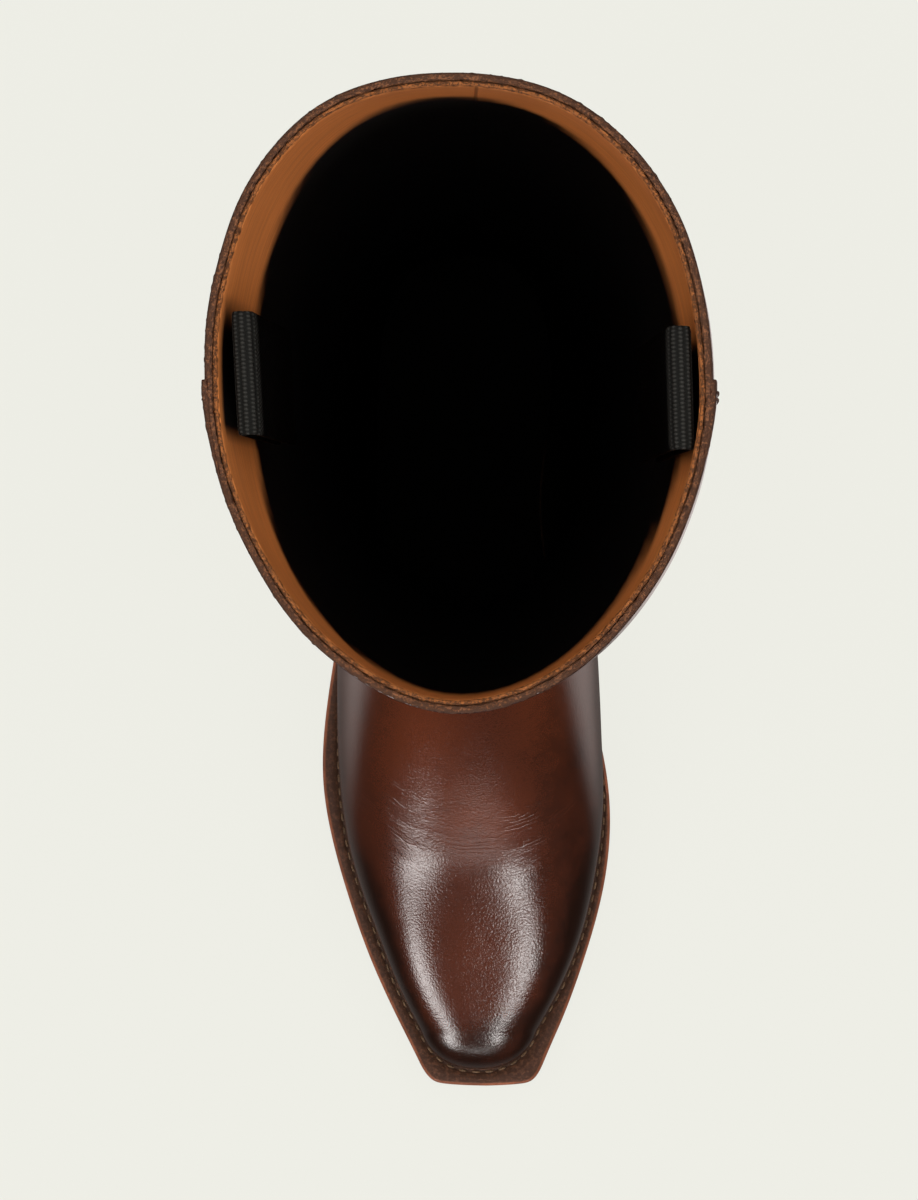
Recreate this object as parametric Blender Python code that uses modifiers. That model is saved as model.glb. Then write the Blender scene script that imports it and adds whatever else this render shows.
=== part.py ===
"""Tall pull-on boot for a right foot, with a snip toe, a welted leather sole and a stacked heel.

+X is the medial side, +Y runs to the heel and +Z is up. The origin is on the floor, under the
middle of the boot's box. Sizes are in millimetres, and become metres when a mesh is made.
"""

import math

import bmesh
import bpy
import numpy as np

MM = 0.001

# Driving sizes of the boot
SOLE_LENGTH = 278.0
BOOT_HEIGHT = 385.0
COLLAR_HALF = 52.0
TOE_SPRING = 10.0
SEAT_HEIGHT = 39.0
WALL = 2.8
OUTSOLE_THICKNESS = 5.0
WELT_THICKNESS = 3.2
INSOLE_THICKNESS = 2.6
CAP_THICKNESS = 6.0
WEBBING_WIDTH = 25.4
WEBBING_THICKNESS = 1.5
GAP = 0.3
FEATHER_GAP = 0.5
WELT_UNDER_UPPER = 6.0
INSOLE_CLEAR = 5.0
INSOLE_LIFT = 0.6

# Places along the boot
TOE_Y = -SOLE_LENGTH / 2
HEEL_Y = SOLE_LENGTH / 2
BALL_FRONT_Y = -75.0
BALL_BACK_Y = -35.0
BREAST_Y = 81.0
HEEL_ROUND_Y = 107.0
HEEL_MIDDLE_X = 2.0
SOLE_TOE_X = 9.0

# Rounded toe of the upper, drawn from above as an arc
NOSE_TIP_Y = TOE_Y + 6.3
NOSE_RADIUS = 20.3
NOSE_POWER = 3.1
NOSE_FLATNESS = 0.85
NOSE_STEPS = 6
NOSE_START = 1e-4

# Heel lifts, each measured in from the sole's edge, and the hollow of the breast
HEEL_HALF_WIDTH = 31.5
HEEL_TOP_IN = 1.0
HEEL_TOP_BACK_IN = 0.8
HEEL_LOW_IN = 4.0
HEEL_LOW_BACK_IN = 7.0
CAP_IN = 4.2
CAP_BACK_IN = 7.6
HEEL_LOW_BREAST_IN = 1.0
BREAST_DISH = 3.0

# Pull loops, measured from the collar and from the inside of the wall
LOOP_LEG = 46.0
LOOP_FOLD = 1.7
LOOP_MIDDLE_Y = {-1: 70.0, 1: 66.0}
LOOP_DROP = 2.0
LOOP_CLEAR = 2.0
LOOP_LEAN_DEG = {-1: 6.0, 1: 4.5}

# Edge of the sole, from the heel forward: y, lateral x, medial x
SOLE_EDGE = (
    (80.0, -31.2, 33.6),
    (50.0, -34.0, 32.6),
    (25.0, -38.2, 35.2),
    (0.0, -42.4, 41.0),
    (-20.0, -45.2, 46.4),
    (-38.0, -45.7, 50.0),
    (-55.0, -43.2, 50.8),
    (-75.0, -37.8, 48.4),
    (-98.0, -29.6, 42.0),
    (-118.0, -20.2, 34.4),
    (-130.5, -13.7, 28.7),
    (-135.2, -10.9, 26.3),
    (-137.4, -8.4, 24.1),
    (-138.4, -4.2, 20.2),
)

# Sections of the last, each a plane across the boot. "top" is on the ridge and then the front of the
# shaft. "low" is on the feather line, where low_z is left out, and then the back of the shaft. The
# middle of a section runs from "ridge_x" at its top to "back_x". "lateral" and "medial" are its
# widest places, a share "widest" of the way from low to top, and "foot_lateral" and "foot_medial"
# are its ends on the feather line.
COLUMNS = (
    "top_y", "top_z", "low_y", "low_z", "lateral", "medial", "ridge_x", "back_x",
    "foot_lateral", "foot_medial", "widest", "top_power", "low_power",
)
FOOT_SECTIONS = (
    (-119.7, 36.5, -119.7, None, -12.6, 25.8, 6.6, 6.6, -11.8, 25.0, 0.36, 2.3, 2.0),
    (-105.0, 41.0, -105.0, None, -19.8, 33.4, 7.2, 7.2, -18.8, 32.4, 0.35, 3.0, 2.0),
    (-88.0, 46.4, -88.0, None, -26.6, 40.2, 7.6, 7.6, -25.4, 39.0, 0.33, 2.85, 2.0),
    (-68.0, 53.2, -68.0, None, -33.8, 45.0, 7.0, 7.0, -32.4, 43.6, 0.31, 2.3, 2.0),
    (-45.0, 66.0, -45.0, None, -38.4, 47.5, 6.0, 6.0, -36.8, 45.8, 0.29, 2.1, 2.0),
    (-22.0, 83.6, -21.0, None, -39.8, 46.8, 5.0, 5.0, -37.6, 43.4, 0.28, 2.0, 2.0),
    (-3.0, 102.0, 6.0, None, -39.4, 45.2, 4.0, 4.0, -35.8, 37.4, 0.29, 2.0, 2.1),
    (7.5, 116.0, 38.0, None, -38.0, 42.8, 3.0, 3.0, -32.0, 30.4, 0.33, 2.0, 2.2),
    (13.0, 132.0, 70.0, None, -36.6, 41.2, 2.4, 2.4, -29.4, 30.2, 0.38, 2.0, 2.3),
    (15.8, 145.0, 100.0, None, -36.0, 40.4, 2.2, 2.2, -28.6, 32.4, 0.43, 2.0, 2.4),
    (16.5, 150.5, 122.0, None, -35.7, 40.0, 2.0, 2.0, -23.4, 27.4, 0.46, 2.0, 2.45),
    (16.9, 155.0, HEEL_Y - 2.2, None, -35.5, 39.8, 2.0, 2.0, 2.0, 2.0, 0.50, 2.0, 2.45),
)
SHAFT_SECTIONS = (
    (17.2, 165.0, 137.0, 74.0, -35.4, 39.8, 2.0, 2.0, 2.0, 2.0, 0.50, 2.0, 2.4),
    (17.0, 178.0, 134.6, 104.0, -35.6, 40.0, 2.2, 2.2, 2.2, 2.2, 0.50, 2.0, 2.3),
    (16.0, 193.0, 131.0, 139.0, -36.2, 40.6, 2.4, 2.4, 2.4, 2.4, 0.50, 2.0, 2.2),
    (13.6, 211.0, 129.6, 176.0, -37.4, 41.6, 2.2, 2.2, 2.2, 2.2, 0.50, 2.0, 2.1),
    (8.6, 240.0, 131.8, 222.0, -39.8, 43.8, 1.8, 1.6, 1.6, 1.6, 0.50, 2.0, 2.1),
    (2.4, 282.0, 135.4, 276.0, -43.8, 47.6, 1.2, 0.6, 0.6, 0.6, 0.50, 2.0, 2.1),
    (-1.6, 334.0, 135.6, 332.0, -48.2, 51.8, 0.4, -0.8, -0.8, -0.8, 0.50, 1.95, 2.15),
    (-1.0, 362.0, 133.6, 361.4, -50.6, 53.8, 0.2, -1.6, -1.6, -1.6, 0.50, 1.9, 2.2),
    (-0.3, BOOT_HEIGHT, 130.9, BOOT_HEIGHT, -COLLAR_HALF, COLLAR_HALF, 0.0, -2.0, -2.0, -2.0,
     0.495, 1.87, 2.3),
)
SIDES = ((-1, "lateral"), (1, "medial"))

# Fineness of the meshes and of the lines that they are read from
SECTION_STEPS = (2,) * 16 + (3, 3, 2, 2)
SIDE_POINTS = 23
OUTLINE_POINTS = 37
TURN_POINTS = 90
LINE_POINTS = 160
FEATHER_FINER = 6
FEATHER_POINTS = 200
SNAP = 1.4
WELD = 0.01
SHARP_DEG = 40.0


# Curves


def spline(knots, values, at):
    """Natural cubic spline through the values at the knots, read at one or more places."""
    knots = np.asarray(knots, float)
    values = np.asarray(values, float)
    at = np.atleast_1d(np.asarray(at, float))
    step = np.diff(knots)
    count = len(knots)
    matrix = np.eye(count)
    right = np.zeros(count)
    slope = np.diff(values) / step
    for i in range(1, count - 1):
        matrix[i, i - 1] = step[i - 1]
        matrix[i, i] = 2 * (step[i - 1] + step[i])
        matrix[i, i + 1] = step[i]
        right[i] = 6 * (slope[i] - slope[i - 1])
    bend = np.linalg.solve(matrix, right)
    k = np.clip(np.searchsorted(knots, at) - 1, 0, count - 2)
    left = at - knots[k]
    rest = knots[k + 1] - at
    return (
        (bend[k] * rest**3 + bend[k + 1] * left**3) / (6 * step[k])
        + (values[k] / step[k] - bend[k] * step[k] / 6) * rest
        + (values[k + 1] / step[k] - bend[k + 1] * step[k] / 6) * left
    )


def along(points):
    """Distance of each point from the first, along the line."""
    points = np.asarray(points, float)
    return np.concatenate([[0], np.cumsum(np.linalg.norm(np.diff(points, axis=0), axis=1))])


def resampled(points, shares):
    """The points at these shares of the line's length."""
    points = np.asarray(points, float)
    length = along(points)
    return np.stack([np.interp(np.asarray(shares) * length[-1], length, c) for c in points.T], axis=1)


def smooth_line(points):
    """A spline through the points, as evenly spaced points."""
    length = along(points)
    fine = np.linspace(0, length[-1], 4 * LINE_POINTS)
    curve = np.stack([spline(length, c, fine) for c in np.asarray(points, float).T], axis=1)
    return resampled(curve, np.linspace(0, 1, LINE_POINTS))


def smooth_step(share):
    share = min(max(share, 0.0), 1.0)
    return share * share * (3 - 2 * share)


# Sole profile and outlines


def sole_bottom(y):
    """Height of the sole's underside: flat at the ball, sprung at the toe, raised on the heel."""
    spring = max(0.0, BALL_FRONT_Y - y) / (BALL_FRONT_Y - TOE_Y)
    rise = smooth_step((y - BALL_BACK_Y) / (HEEL_Y - BALL_BACK_Y))
    return TOE_SPRING * spring**2 + SEAT_HEIGHT * rise


def sole_top(y):
    return sole_bottom(y) + OUTSOLE_THICKNESS


def welt_top(y):
    return sole_top(y) + GAP + WELT_THICKNESS


def feather_height(y):
    return welt_top(y) + FEATHER_GAP


def insole_low(y):
    return feather_height(y) + INSOLE_LIFT


def insole_high(y):
    return insole_low(y) + INSOLE_THICKNESS


def heel_arc(half_width, back_y, centre_y, side):
    """Quarter turn round the back of the heel, from its middle to one side."""
    turns = np.radians([0, 20, 40, 60, 80])
    return [
        (HEEL_MIDDLE_X + side * half_width * math.sin(a), centre_y + (back_y - centre_y) * math.cos(a))
        for a in turns
    ]


def sole_half(side):
    """One side of the sole's edge, from the middle of the heel to the middle of the toe."""
    points = heel_arc(HEEL_HALF_WIDTH, HEEL_Y, HEEL_ROUND_Y, side)
    points += [(lateral if side < 0 else medial, y) for y, lateral, medial in SOLE_EDGE]
    points.append((SOLE_TOE_X, TOE_Y))
    return smooth_line(points)


# Sections of the upper


def keel_drop(row, side):
    """How far the curve of one side would run on below the feather line, where it is cut off."""
    edge, foot = ("medial", "foot_medial") if side > 0 else ("lateral", "foot_lateral")
    share = (row[foot] - row["back_x"]) / (row[edge] - row["back_x"])
    deep = row["widest"] * math.hypot(row["top_y"] - row["low_y"], row["top_z"] - row["low_z"])
    power = row["low_power"]
    return deep / (1 - share**power) ** (1 / power) - deep


def with_keels(row):
    """The section with its low point and widest place worked out for each side's whole curve."""
    run = row["low_y"] - row["top_y"]
    fall = row["low_z"] - row["top_z"]
    length = math.hypot(run, fall)
    for side, name in SIDES:
        drop = keel_drop(row, side)
        row["keel_y_" + name] = row["low_y"] + run * drop / length
        row["keel_z_" + name] = row["low_z"] + fall * drop / length
        row["widest_" + name] = (drop + row["widest"] * length) / (drop + length)
    return row


def last_table():
    """The table's columns as arrays, and the place of each row along the boot."""
    rows = []
    for row in FOOT_SECTIONS + SHAFT_SECTIONS:
        row = dict(zip(COLUMNS, row))
        if row["low_z"] is None:
            row["low_z"] = feather_height(row["low_y"])
        rows.append(with_keels(row))
    table = {name: np.array([row[name] for row in rows], float) for name in rows[0]}
    top = along(np.stack([table["top_y"], table["top_z"]], axis=1))
    low = along(np.stack([table["low_y"], table["low_z"]], axis=1))
    return table, (top + low) / 2


def nose_sections(first, slope, finer):
    """Sections round the toe, from its tip to the first row of the table."""
    reach = first["top_y"] - NOSE_TIP_Y
    last_turn = math.acos(1 - reach / NOSE_RADIUS)
    for turn in np.linspace(NOSE_START, last_turn, finer * NOSE_STEPS + 1)[:-1]:
        depth = NOSE_RADIUS * (1 - math.cos(turn))
        share = (math.sin(turn) / math.sin(last_turn)) ** NOSE_FLATNESS
        y = NOSE_TIP_Y + depth
        feather = feather_height(y)
        lift = (1 - (1 - depth / reach) ** NOSE_POWER) ** (1 / NOSE_POWER)
        top = feather + (first["top_z"] + slope * (y - first["top_y"]) - feather) * lift
        section = dict(first, top_y=y, low_y=y, low_z=feather, top_z=top)
        for name in ("lateral", "medial", "foot_lateral", "foot_medial"):
            section[name] = first["ridge_x"] + (first[name] - first["ridge_x"]) * share
        yield with_keels(section)


def joined_at_back(section):
    """A shaft section whose two sides end at the same point."""
    for name in ("keel_y_", "keel_z_", "widest_"):
        mean = (section[name + "lateral"] + section[name + "medial"]) / 2
        section[name + "lateral"] = section[name + "medial"] = mean
    return section


def last_sections(finer=1):
    """Sections of the whole last, from the toe to the collar, with each step cut into finer ones."""
    table, places = last_table()
    first = {name: column[0] for name, column in table.items()}
    slope = np.diff(table["top_z"])[0] / np.diff(table["top_y"])[0]
    sections = list(nose_sections(first, slope, finer)) + [first]
    for i, steps in enumerate(SECTION_STEPS):
        for share in np.arange(1, finer * steps + 1) / (finer * steps):
            place = places[i] + share * (places[i + 1] - places[i])
            section = {name: float(spline(places, c, place)[0]) for name, c in table.items()}
            sections.append(joined_at_back(section) if i >= len(FOOT_SECTIONS) - 1 else section)
    return sections


def half_section(section, side, shares):
    """One side of a section's whole curve, from the ridge to the keel or the back of the shaft."""
    name = dict(SIDES)[side]
    widest = section["widest_" + name]
    lean = section["ridge_x"] - section["back_x"]
    width = abs(section[name] - section["back_x"] - widest * lean)
    over = 2 / section["top_power"]
    under = 2 / section["low_power"]
    turns = np.linspace(0, math.pi / 2, TURN_POINTS)
    far = width * np.concatenate([np.sin(turns) ** over, np.cos(turns[1:]).clip(0) ** under])
    rise = np.concatenate([
        widest + (1 - widest) * np.cos(turns).clip(0) ** over,
        widest - widest * np.sin(turns[1:]) ** under,
    ])
    x = section["back_x"] + rise * lean + side * far
    y = section["keel_y_" + name] + rise * (section["top_y"] - section["keel_y_" + name])
    z = section["keel_z_" + name] + rise * (section["top_z"] - section["keel_z_" + name])
    return resampled(np.stack([x, y, z], axis=1), shares)


def whole_section(section):
    """From the lateral keel over the ridge to the medial one."""
    shares = np.linspace(0, 1, SIDE_POINTS)
    lateral, medial = (half_section(section, side, shares) for side in (-1, 1))
    return np.concatenate([lateral[::-1], medial[1:]])


def feather_half(side, inset):
    """Feather line on one side, from the heel to the toe, moved inwards in plan by the inset."""
    table, _ = last_table()
    heel = len(FOOT_SECTIONS) - 1
    feet = [(table["ridge_x"][0], NOSE_TIP_Y)]
    for section in last_sections(FEATHER_FINER):
        line = half_section(section, side, np.linspace(0, 1, FEATHER_POINTS))
        clear = line[:, 2] - np.array([feather_height(y) for y in line[:, 1]])
        if clear[-1] < 0 < clear[0]:
            cut = np.nonzero(clear > 0)[0][-1]
            share = clear[cut] / (clear[cut] - clear[cut + 1])
            feet.append((line[cut] + share * (line[cut + 1] - line[cut]))[:2])
    feet.append((table["back_x"][heel], table["low_y"][heel]))
    line = resampled(feet[::-1], np.linspace(0, 1, LINE_POINTS))
    run = np.gradient(line, axis=0)
    run[0] = (side, 0)
    run[-1] = (-side, 0)
    inward = np.stack([run[:, 1], -run[:, 0]], axis=1) * side
    inward /= np.linalg.norm(inward, axis=1)[:, None]
    return resampled(line + inset * inward, np.linspace(0, 1, len(line)))


# Meshes and materials


def new_object(name, bm, collection, material):
    bmesh.ops.remove_doubles(bm, verts=bm.verts, dist=WELD * MM)
    if not any(edge.is_boundary for edge in bm.edges):
        bmesh.ops.recalc_face_normals(bm, faces=bm.faces)
    mesh = bpy.data.meshes.new(name)
    bm.to_mesh(mesh)
    bm.free()
    mesh.materials.append(material)
    mesh.shade_smooth()
    mesh.set_sharp_from_angle(angle=math.radians(SHARP_DEG))
    obj = bpy.data.objects.new(name, mesh)
    collection.objects.link(obj)
    return obj


def grid(bm, rows, closed=False):
    """Faces between neighbouring rows of points."""
    verts = [[bm.verts.new(np.asarray(p) * MM) for p in row] for row in rows]
    for low, high in zip(verts, verts[1:] + verts[:1] if closed else verts[1:]):
        for i in range(len(low) - 1):
            bm.faces.new((low[i], low[i + 1], high[i + 1], high[i]))


def slab(top, bottom):
    """Closed solid between two surfaces, each given as rungs from the lateral to the medial edge."""
    bm = bmesh.new()
    rings = [[t[0], t[1], b[1], b[0], t[0]] for t, b in zip(top, bottom)]
    grid(bm, rings)
    for end in (rings[0], rings[-1]):
        if np.linalg.norm(np.subtract(end[0], end[1])) > WELD:
            bm.faces.new([bm.verts.new(np.asarray(p) * MM) for p in end[:4]])
    return bm


def rungs(lateral, medial, height):
    """Pairs of points across a plan outline, at the height of each point's y."""
    return [
        ((a[0], a[1], height(a[1])), (b[0], b[1], height(b[1])))
        for a, b in zip(lateral, medial)
    ]


def finish(name, colour, roughness):
    material = bpy.data.materials.new(name)
    material.use_nodes = True
    shader = material.node_tree.nodes["Principled BSDF"]
    shader.inputs["Base Color"].default_value = (*colour, 1.0)
    shader.inputs["Roughness"].default_value = roughness
    shader.inputs["Metallic"].default_value = 0.0
    return material


# Pieces of the boot

OUTLINE_SHARES = 0.5 - 0.5 * np.cos(np.pi * np.linspace(0, 1, OUTLINE_POINTS))


def cut_at_feather(bm):
    """Removes what lies below the feather line, with the sole's curve taken out while it is cut."""
    for vert in bm.verts:
        vert.co.z -= feather_height(vert.co.y / MM) * MM
        vert.co.z = 0.0 if abs(vert.co.z) < SNAP * MM else vert.co.z
    geometry = bm.verts[:] + bm.edges[:] + bm.faces[:]
    bmesh.ops.bisect_plane(
        bm, geom=geometry, dist=1e-7, plane_co=(0, 0, 0), plane_no=(0, 0, 1), clear_inner=True
    )
    for vert in bm.verts:
        vert.co.z += feather_height(vert.co.y / MM) * MM


def make_upper(collection, material):
    bm = bmesh.new()
    grid(bm, [whole_section(section) for section in last_sections()])
    bmesh.ops.remove_doubles(bm, verts=bm.verts, dist=WELD * MM)
    cut_at_feather(bm)
    upper = new_object("upper", bm, collection, material)
    wall = upper.modifiers.new("wall", "SOLIDIFY")
    wall.thickness = WALL * MM
    wall.offset = -1.0
    wall.use_even_offset = True
    return upper


def make_outsole(collection, material):
    halves = [resampled(sole_half(side), OUTLINE_SHARES) for side in (-1, 1)]
    bm = slab(rungs(*halves, sole_top), rungs(*halves, sole_bottom))
    return new_object("outsole", bm, collection, material)


def make_welt(collection, material):
    ring = []
    for side, order in ((-1, slice(None)), (1, slice(-2, 0, -1))):
        outer = resampled(sole_half(side), OUTLINE_SHARES)[order]
        inner = resampled(feather_half(side, WELT_UNDER_UPPER), OUTLINE_SHARES)[order]
        for a, b in zip(outer, inner):
            low = [(*p, sole_top(p[1]) + GAP) for p in (a, b)]
            high = [(*p, welt_top(p[1])) for p in (b, a)]
            ring.append(low + high + low[:1])
    bm = bmesh.new()
    grid(bm, ring, closed=True)
    return new_object("welt", bm, collection, material)


def make_insole(collection, material):
    halves = [resampled(feather_half(side, INSOLE_CLEAR), OUTLINE_SHARES) for side in (-1, 1)]
    bm = slab(rungs(*halves, insole_high), rungs(*halves, insole_low))
    return new_object("insole", bm, collection, material)


def heel_outline(side_in, back_in, breast_in):
    """Edges in plan of a heel lift, from its round back to its hollowed breast."""
    half_width = HEEL_HALF_WIDTH - side_in
    centre_y = HEEL_Y - back_in - half_width
    breast_y = BREAST_Y + breast_in
    edge = []
    for turn in np.radians(np.linspace(0, 90, 9)):
        edge.append((half_width * math.sin(turn), centre_y + half_width * math.cos(turn)))
    for y in np.linspace(centre_y, breast_y, 5)[1:]:
        edge.append((half_width, y))
    for share in (0.75, 0.5, 0.25, 0.0):
        edge.append((half_width * share, breast_y + BREAST_DISH * (1 - share * share)))
    return [[(HEEL_MIDDLE_X + side * x, y) for x, y in edge] for side in (-1, 1)]


def make_heel(collection, heel_material, cap_material):
    top = heel_outline(HEEL_TOP_IN, HEEL_TOP_BACK_IN, 0.0)
    low = heel_outline(HEEL_LOW_IN, HEEL_LOW_BACK_IN, HEEL_LOW_BREAST_IN)
    cap = heel_outline(CAP_IN, CAP_BACK_IN, HEEL_LOW_BREAST_IN)
    block = slab(
        rungs(*top, lambda y: sole_bottom(y) - GAP),
        rungs(*low, lambda y: CAP_THICKNESS + GAP),
    )
    lift = slab(rungs(*low, lambda y: CAP_THICKNESS), rungs(*cap, lambda y: 0.0))
    return (
        new_object("heel", block, collection, heel_material),
        new_object("heel_cap", lift, collection, cap_material),
    )


def make_pull_loop(name, side, collection, material):
    """Webbing folded over at the top, with both legs hanging inside the collar's side seam."""
    outer = LOOP_FOLD + WEBBING_THICKNESS / 2
    inner = LOOP_FOLD - WEBBING_THICKNESS / 2
    turns = np.linspace(0, math.pi, 9)
    profile = [(-outer, -LOOP_LEG)]
    profile += [(-outer * math.cos(a), outer * math.sin(a)) for a in turns]
    profile += [(outer, -LOOP_LEG), (inner, -LOOP_LEG)]
    profile += [(inner * math.cos(a), inner * math.sin(a)) for a in turns]
    profile += [(-inner, -LOOP_LEG)]
    curve = bpy.data.curves.new(name, "CURVE")
    curve.dimensions = "2D"
    curve.fill_mode = "BOTH"
    curve.extrude = WEBBING_WIDTH / 2 * MM
    strand = curve.splines.new("POLY")
    strand.points.add(len(profile) - 1)
    for point, (x, z) in zip(strand.points, profile):
        point.co = (x * MM, z * MM, 0.0, 1.0)
    strand.use_cyclic_u = True
    curve.materials.append(material)
    loop = bpy.data.objects.new(name, curve)
    collection.objects.link(loop)
    middle_x = side * (COLLAR_HALF - WALL - LOOP_CLEAR - outer)
    middle_z = BOOT_HEIGHT - LOOP_DROP - outer
    loop.rotation_euler = (math.pi / 2, side * math.radians(LOOP_LEAN_DEG[side]), 0.0)
    loop.location = (middle_x * MM, LOOP_MIDDLE_Y[side] * MM, middle_z * MM)
    return loop


def main():
    for obj in list(bpy.data.objects):
        bpy.data.objects.remove(obj, do_unlink=True)
    boot = bpy.data.collections.new("tall_boot")
    bpy.context.scene.collection.children.link(boot)
    brown = finish("brown_leather", (0.085, 0.025, 0.012), 0.35)
    sole = finish("sole_leather", (0.12, 0.045, 0.02), 0.5)
    welt = finish("welt_leather", (0.07, 0.03, 0.014), 0.55)
    stack = finish("stacked_leather", (0.10, 0.04, 0.02), 0.45)
    rubber = finish("heel_rubber", (0.02, 0.018, 0.016), 0.7)
    sock = finish("insole_leather", (0.012, 0.011, 0.010), 0.7)
    webbing = finish("black_webbing", (0.01, 0.01, 0.01), 0.85)
    make_upper(boot, brown)
    make_outsole(boot, sole)
    make_welt(boot, welt)
    make_insole(boot, sock)
    make_heel(boot, stack, rubber)
    make_pull_loop("pull_loop_lateral", -1, boot, webbing)
    make_pull_loop("pull_loop_medial", 1, boot, webbing)


main()
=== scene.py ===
"""Tall pull-on boot: its leather, sole, webbing and stage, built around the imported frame.

+X is the medial side, +Y runs to the heel and +Z is up. Shapes are worked out in millimetres and
become metres when a mesh is made. Finishes and the stage are in metres.
"""

import functools
import math

import bmesh
import bpy
import numpy as np
from bpy.props import FloatProperty, FloatVectorProperty, PointerProperty
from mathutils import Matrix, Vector, noise


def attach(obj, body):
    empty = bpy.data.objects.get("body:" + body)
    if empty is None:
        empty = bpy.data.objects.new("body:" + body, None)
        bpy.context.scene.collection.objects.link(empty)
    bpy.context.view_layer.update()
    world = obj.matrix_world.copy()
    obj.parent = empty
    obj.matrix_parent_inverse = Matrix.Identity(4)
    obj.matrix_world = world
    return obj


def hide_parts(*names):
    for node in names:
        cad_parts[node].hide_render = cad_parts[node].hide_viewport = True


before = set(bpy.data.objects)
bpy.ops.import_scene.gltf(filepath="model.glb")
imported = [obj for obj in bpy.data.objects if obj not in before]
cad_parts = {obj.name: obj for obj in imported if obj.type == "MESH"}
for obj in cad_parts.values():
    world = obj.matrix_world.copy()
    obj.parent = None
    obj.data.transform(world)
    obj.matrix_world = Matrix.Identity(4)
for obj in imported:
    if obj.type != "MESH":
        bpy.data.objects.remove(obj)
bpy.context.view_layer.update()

bl_info = {
    "name": "Tall Boot Maker",
    "version": (1, 0, 0),
    "blender": (4, 5, 0),
    "location": "View3D > Sidebar > Boot",
    "description": "Builds the leather, sole, webbing and stage of a tall pull-on boot",
    "category": "Object",
}

MM = 0.001
SIDES = ((-1, "lateral"), (1, "medial"))

# Points this near become one point, and edges this short are taken out
WELD = 0.002
SLIVER = 0.0005

# Driving sizes of the last and the sole, as the solids have them
SOLE_LENGTH = 278.0
BOOT_HEIGHT = 385.0
COLLAR_HALF = 52.0
TOE_SPRING = 10.0
SEAT_HEIGHT = 39.0
WALL = 2.8
OUTSOLE_THICKNESS = 5.0
WELT_THICKNESS = 3.2
INSOLE_THICKNESS = 2.6
CAP_THICKNESS = 6.0
WEBBING_WIDTH = 25.4
WEBBING_THICKNESS = 1.5
GAP = 0.3
FEATHER_GAP = 0.5
WELT_UNDER_UPPER = 6.0
INSOLE_LIFT = 0.6
TOE_Y = -SOLE_LENGTH / 2
HEEL_Y = SOLE_LENGTH / 2
BALL_FRONT_Y = -75.0
BALL_BACK_Y = -35.0
BREAST_Y = 81.0
HEEL_ROUND_Y = 107.0
HEEL_CENTRE_Y = 108.0
HEEL_MIDDLE_X = 2.0
SOLE_TOE_X = 9.0
NOSE_TIP_Y = TOE_Y + 6.3
NOSE_RADIUS = 20.3
NOSE_POWER = 3.1
NOSE_FLATNESS = 0.85
NOSE_START = 1e-4
HEEL_HALF_WIDTH = 31.5
HEEL_TOP = (1.0, 0.8, 0.0)
HEEL_LOW = (4.0, 7.0, 1.0)
CAP_LOW = (4.2, 7.6, 1.0)
BREAST_DISH = 3.0
LOOP_LEG = 46.0
LOOP_FOLD = 1.7
LOOP_MIDDLE_Y = {-1: 70.0, 1: 66.0}
LOOP_DROP = 2.0
LOOP_LEAN_DEG = {-1: 6.0, 1: 4.5}

# Where loops and sock stand a little apart from the solids
LOOP_YAW = {-1: 0.055, 1: 0.03}
LOOP_CLEAR = {-1: 2.9, 1: 1.0}
LOOP_SWAY = 0.5
INSOLE_CLEAR = 2.5

# Ribs of the webbing, its thin selvedges, and how far from its fold it stays unshaded; beyond that its legs
# are painted near-black as painted shade
RIB_HEIGHT = 0.16
RIB_STEPS = 6
RIB_ROOM = 0.14
INNER_RIB = 0.6
SELVEDGE_THIN = 0.45
SELVEDGE_POWER = 24
FOLD_UNSHADED = (3.2, 3.6)
WEBBING_POINTS = 31

# Edge of the sole, from the heel forward: y, lateral x, medial x
SOLE_EDGE = (
    (80.0, -31.2, 33.6),
    (50.0, -34.0, 32.6),
    (25.0, -38.2, 35.2),
    (0.0, -42.4, 41.0),
    (-20.0, -45.2, 46.4),
    (-38.0, -45.7, 50.0),
    (-55.0, -43.2, 50.8),
    (-75.0, -37.8, 48.4),
    (-98.0, -29.6, 42.0),
    (-118.0, -20.2, 34.4),
    (-130.5, -13.7, 28.7),
    (-135.2, -10.9, 26.3),
    (-137.4, -8.4, 24.1),
    (-138.4, -4.2, 20.2),
)

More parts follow.
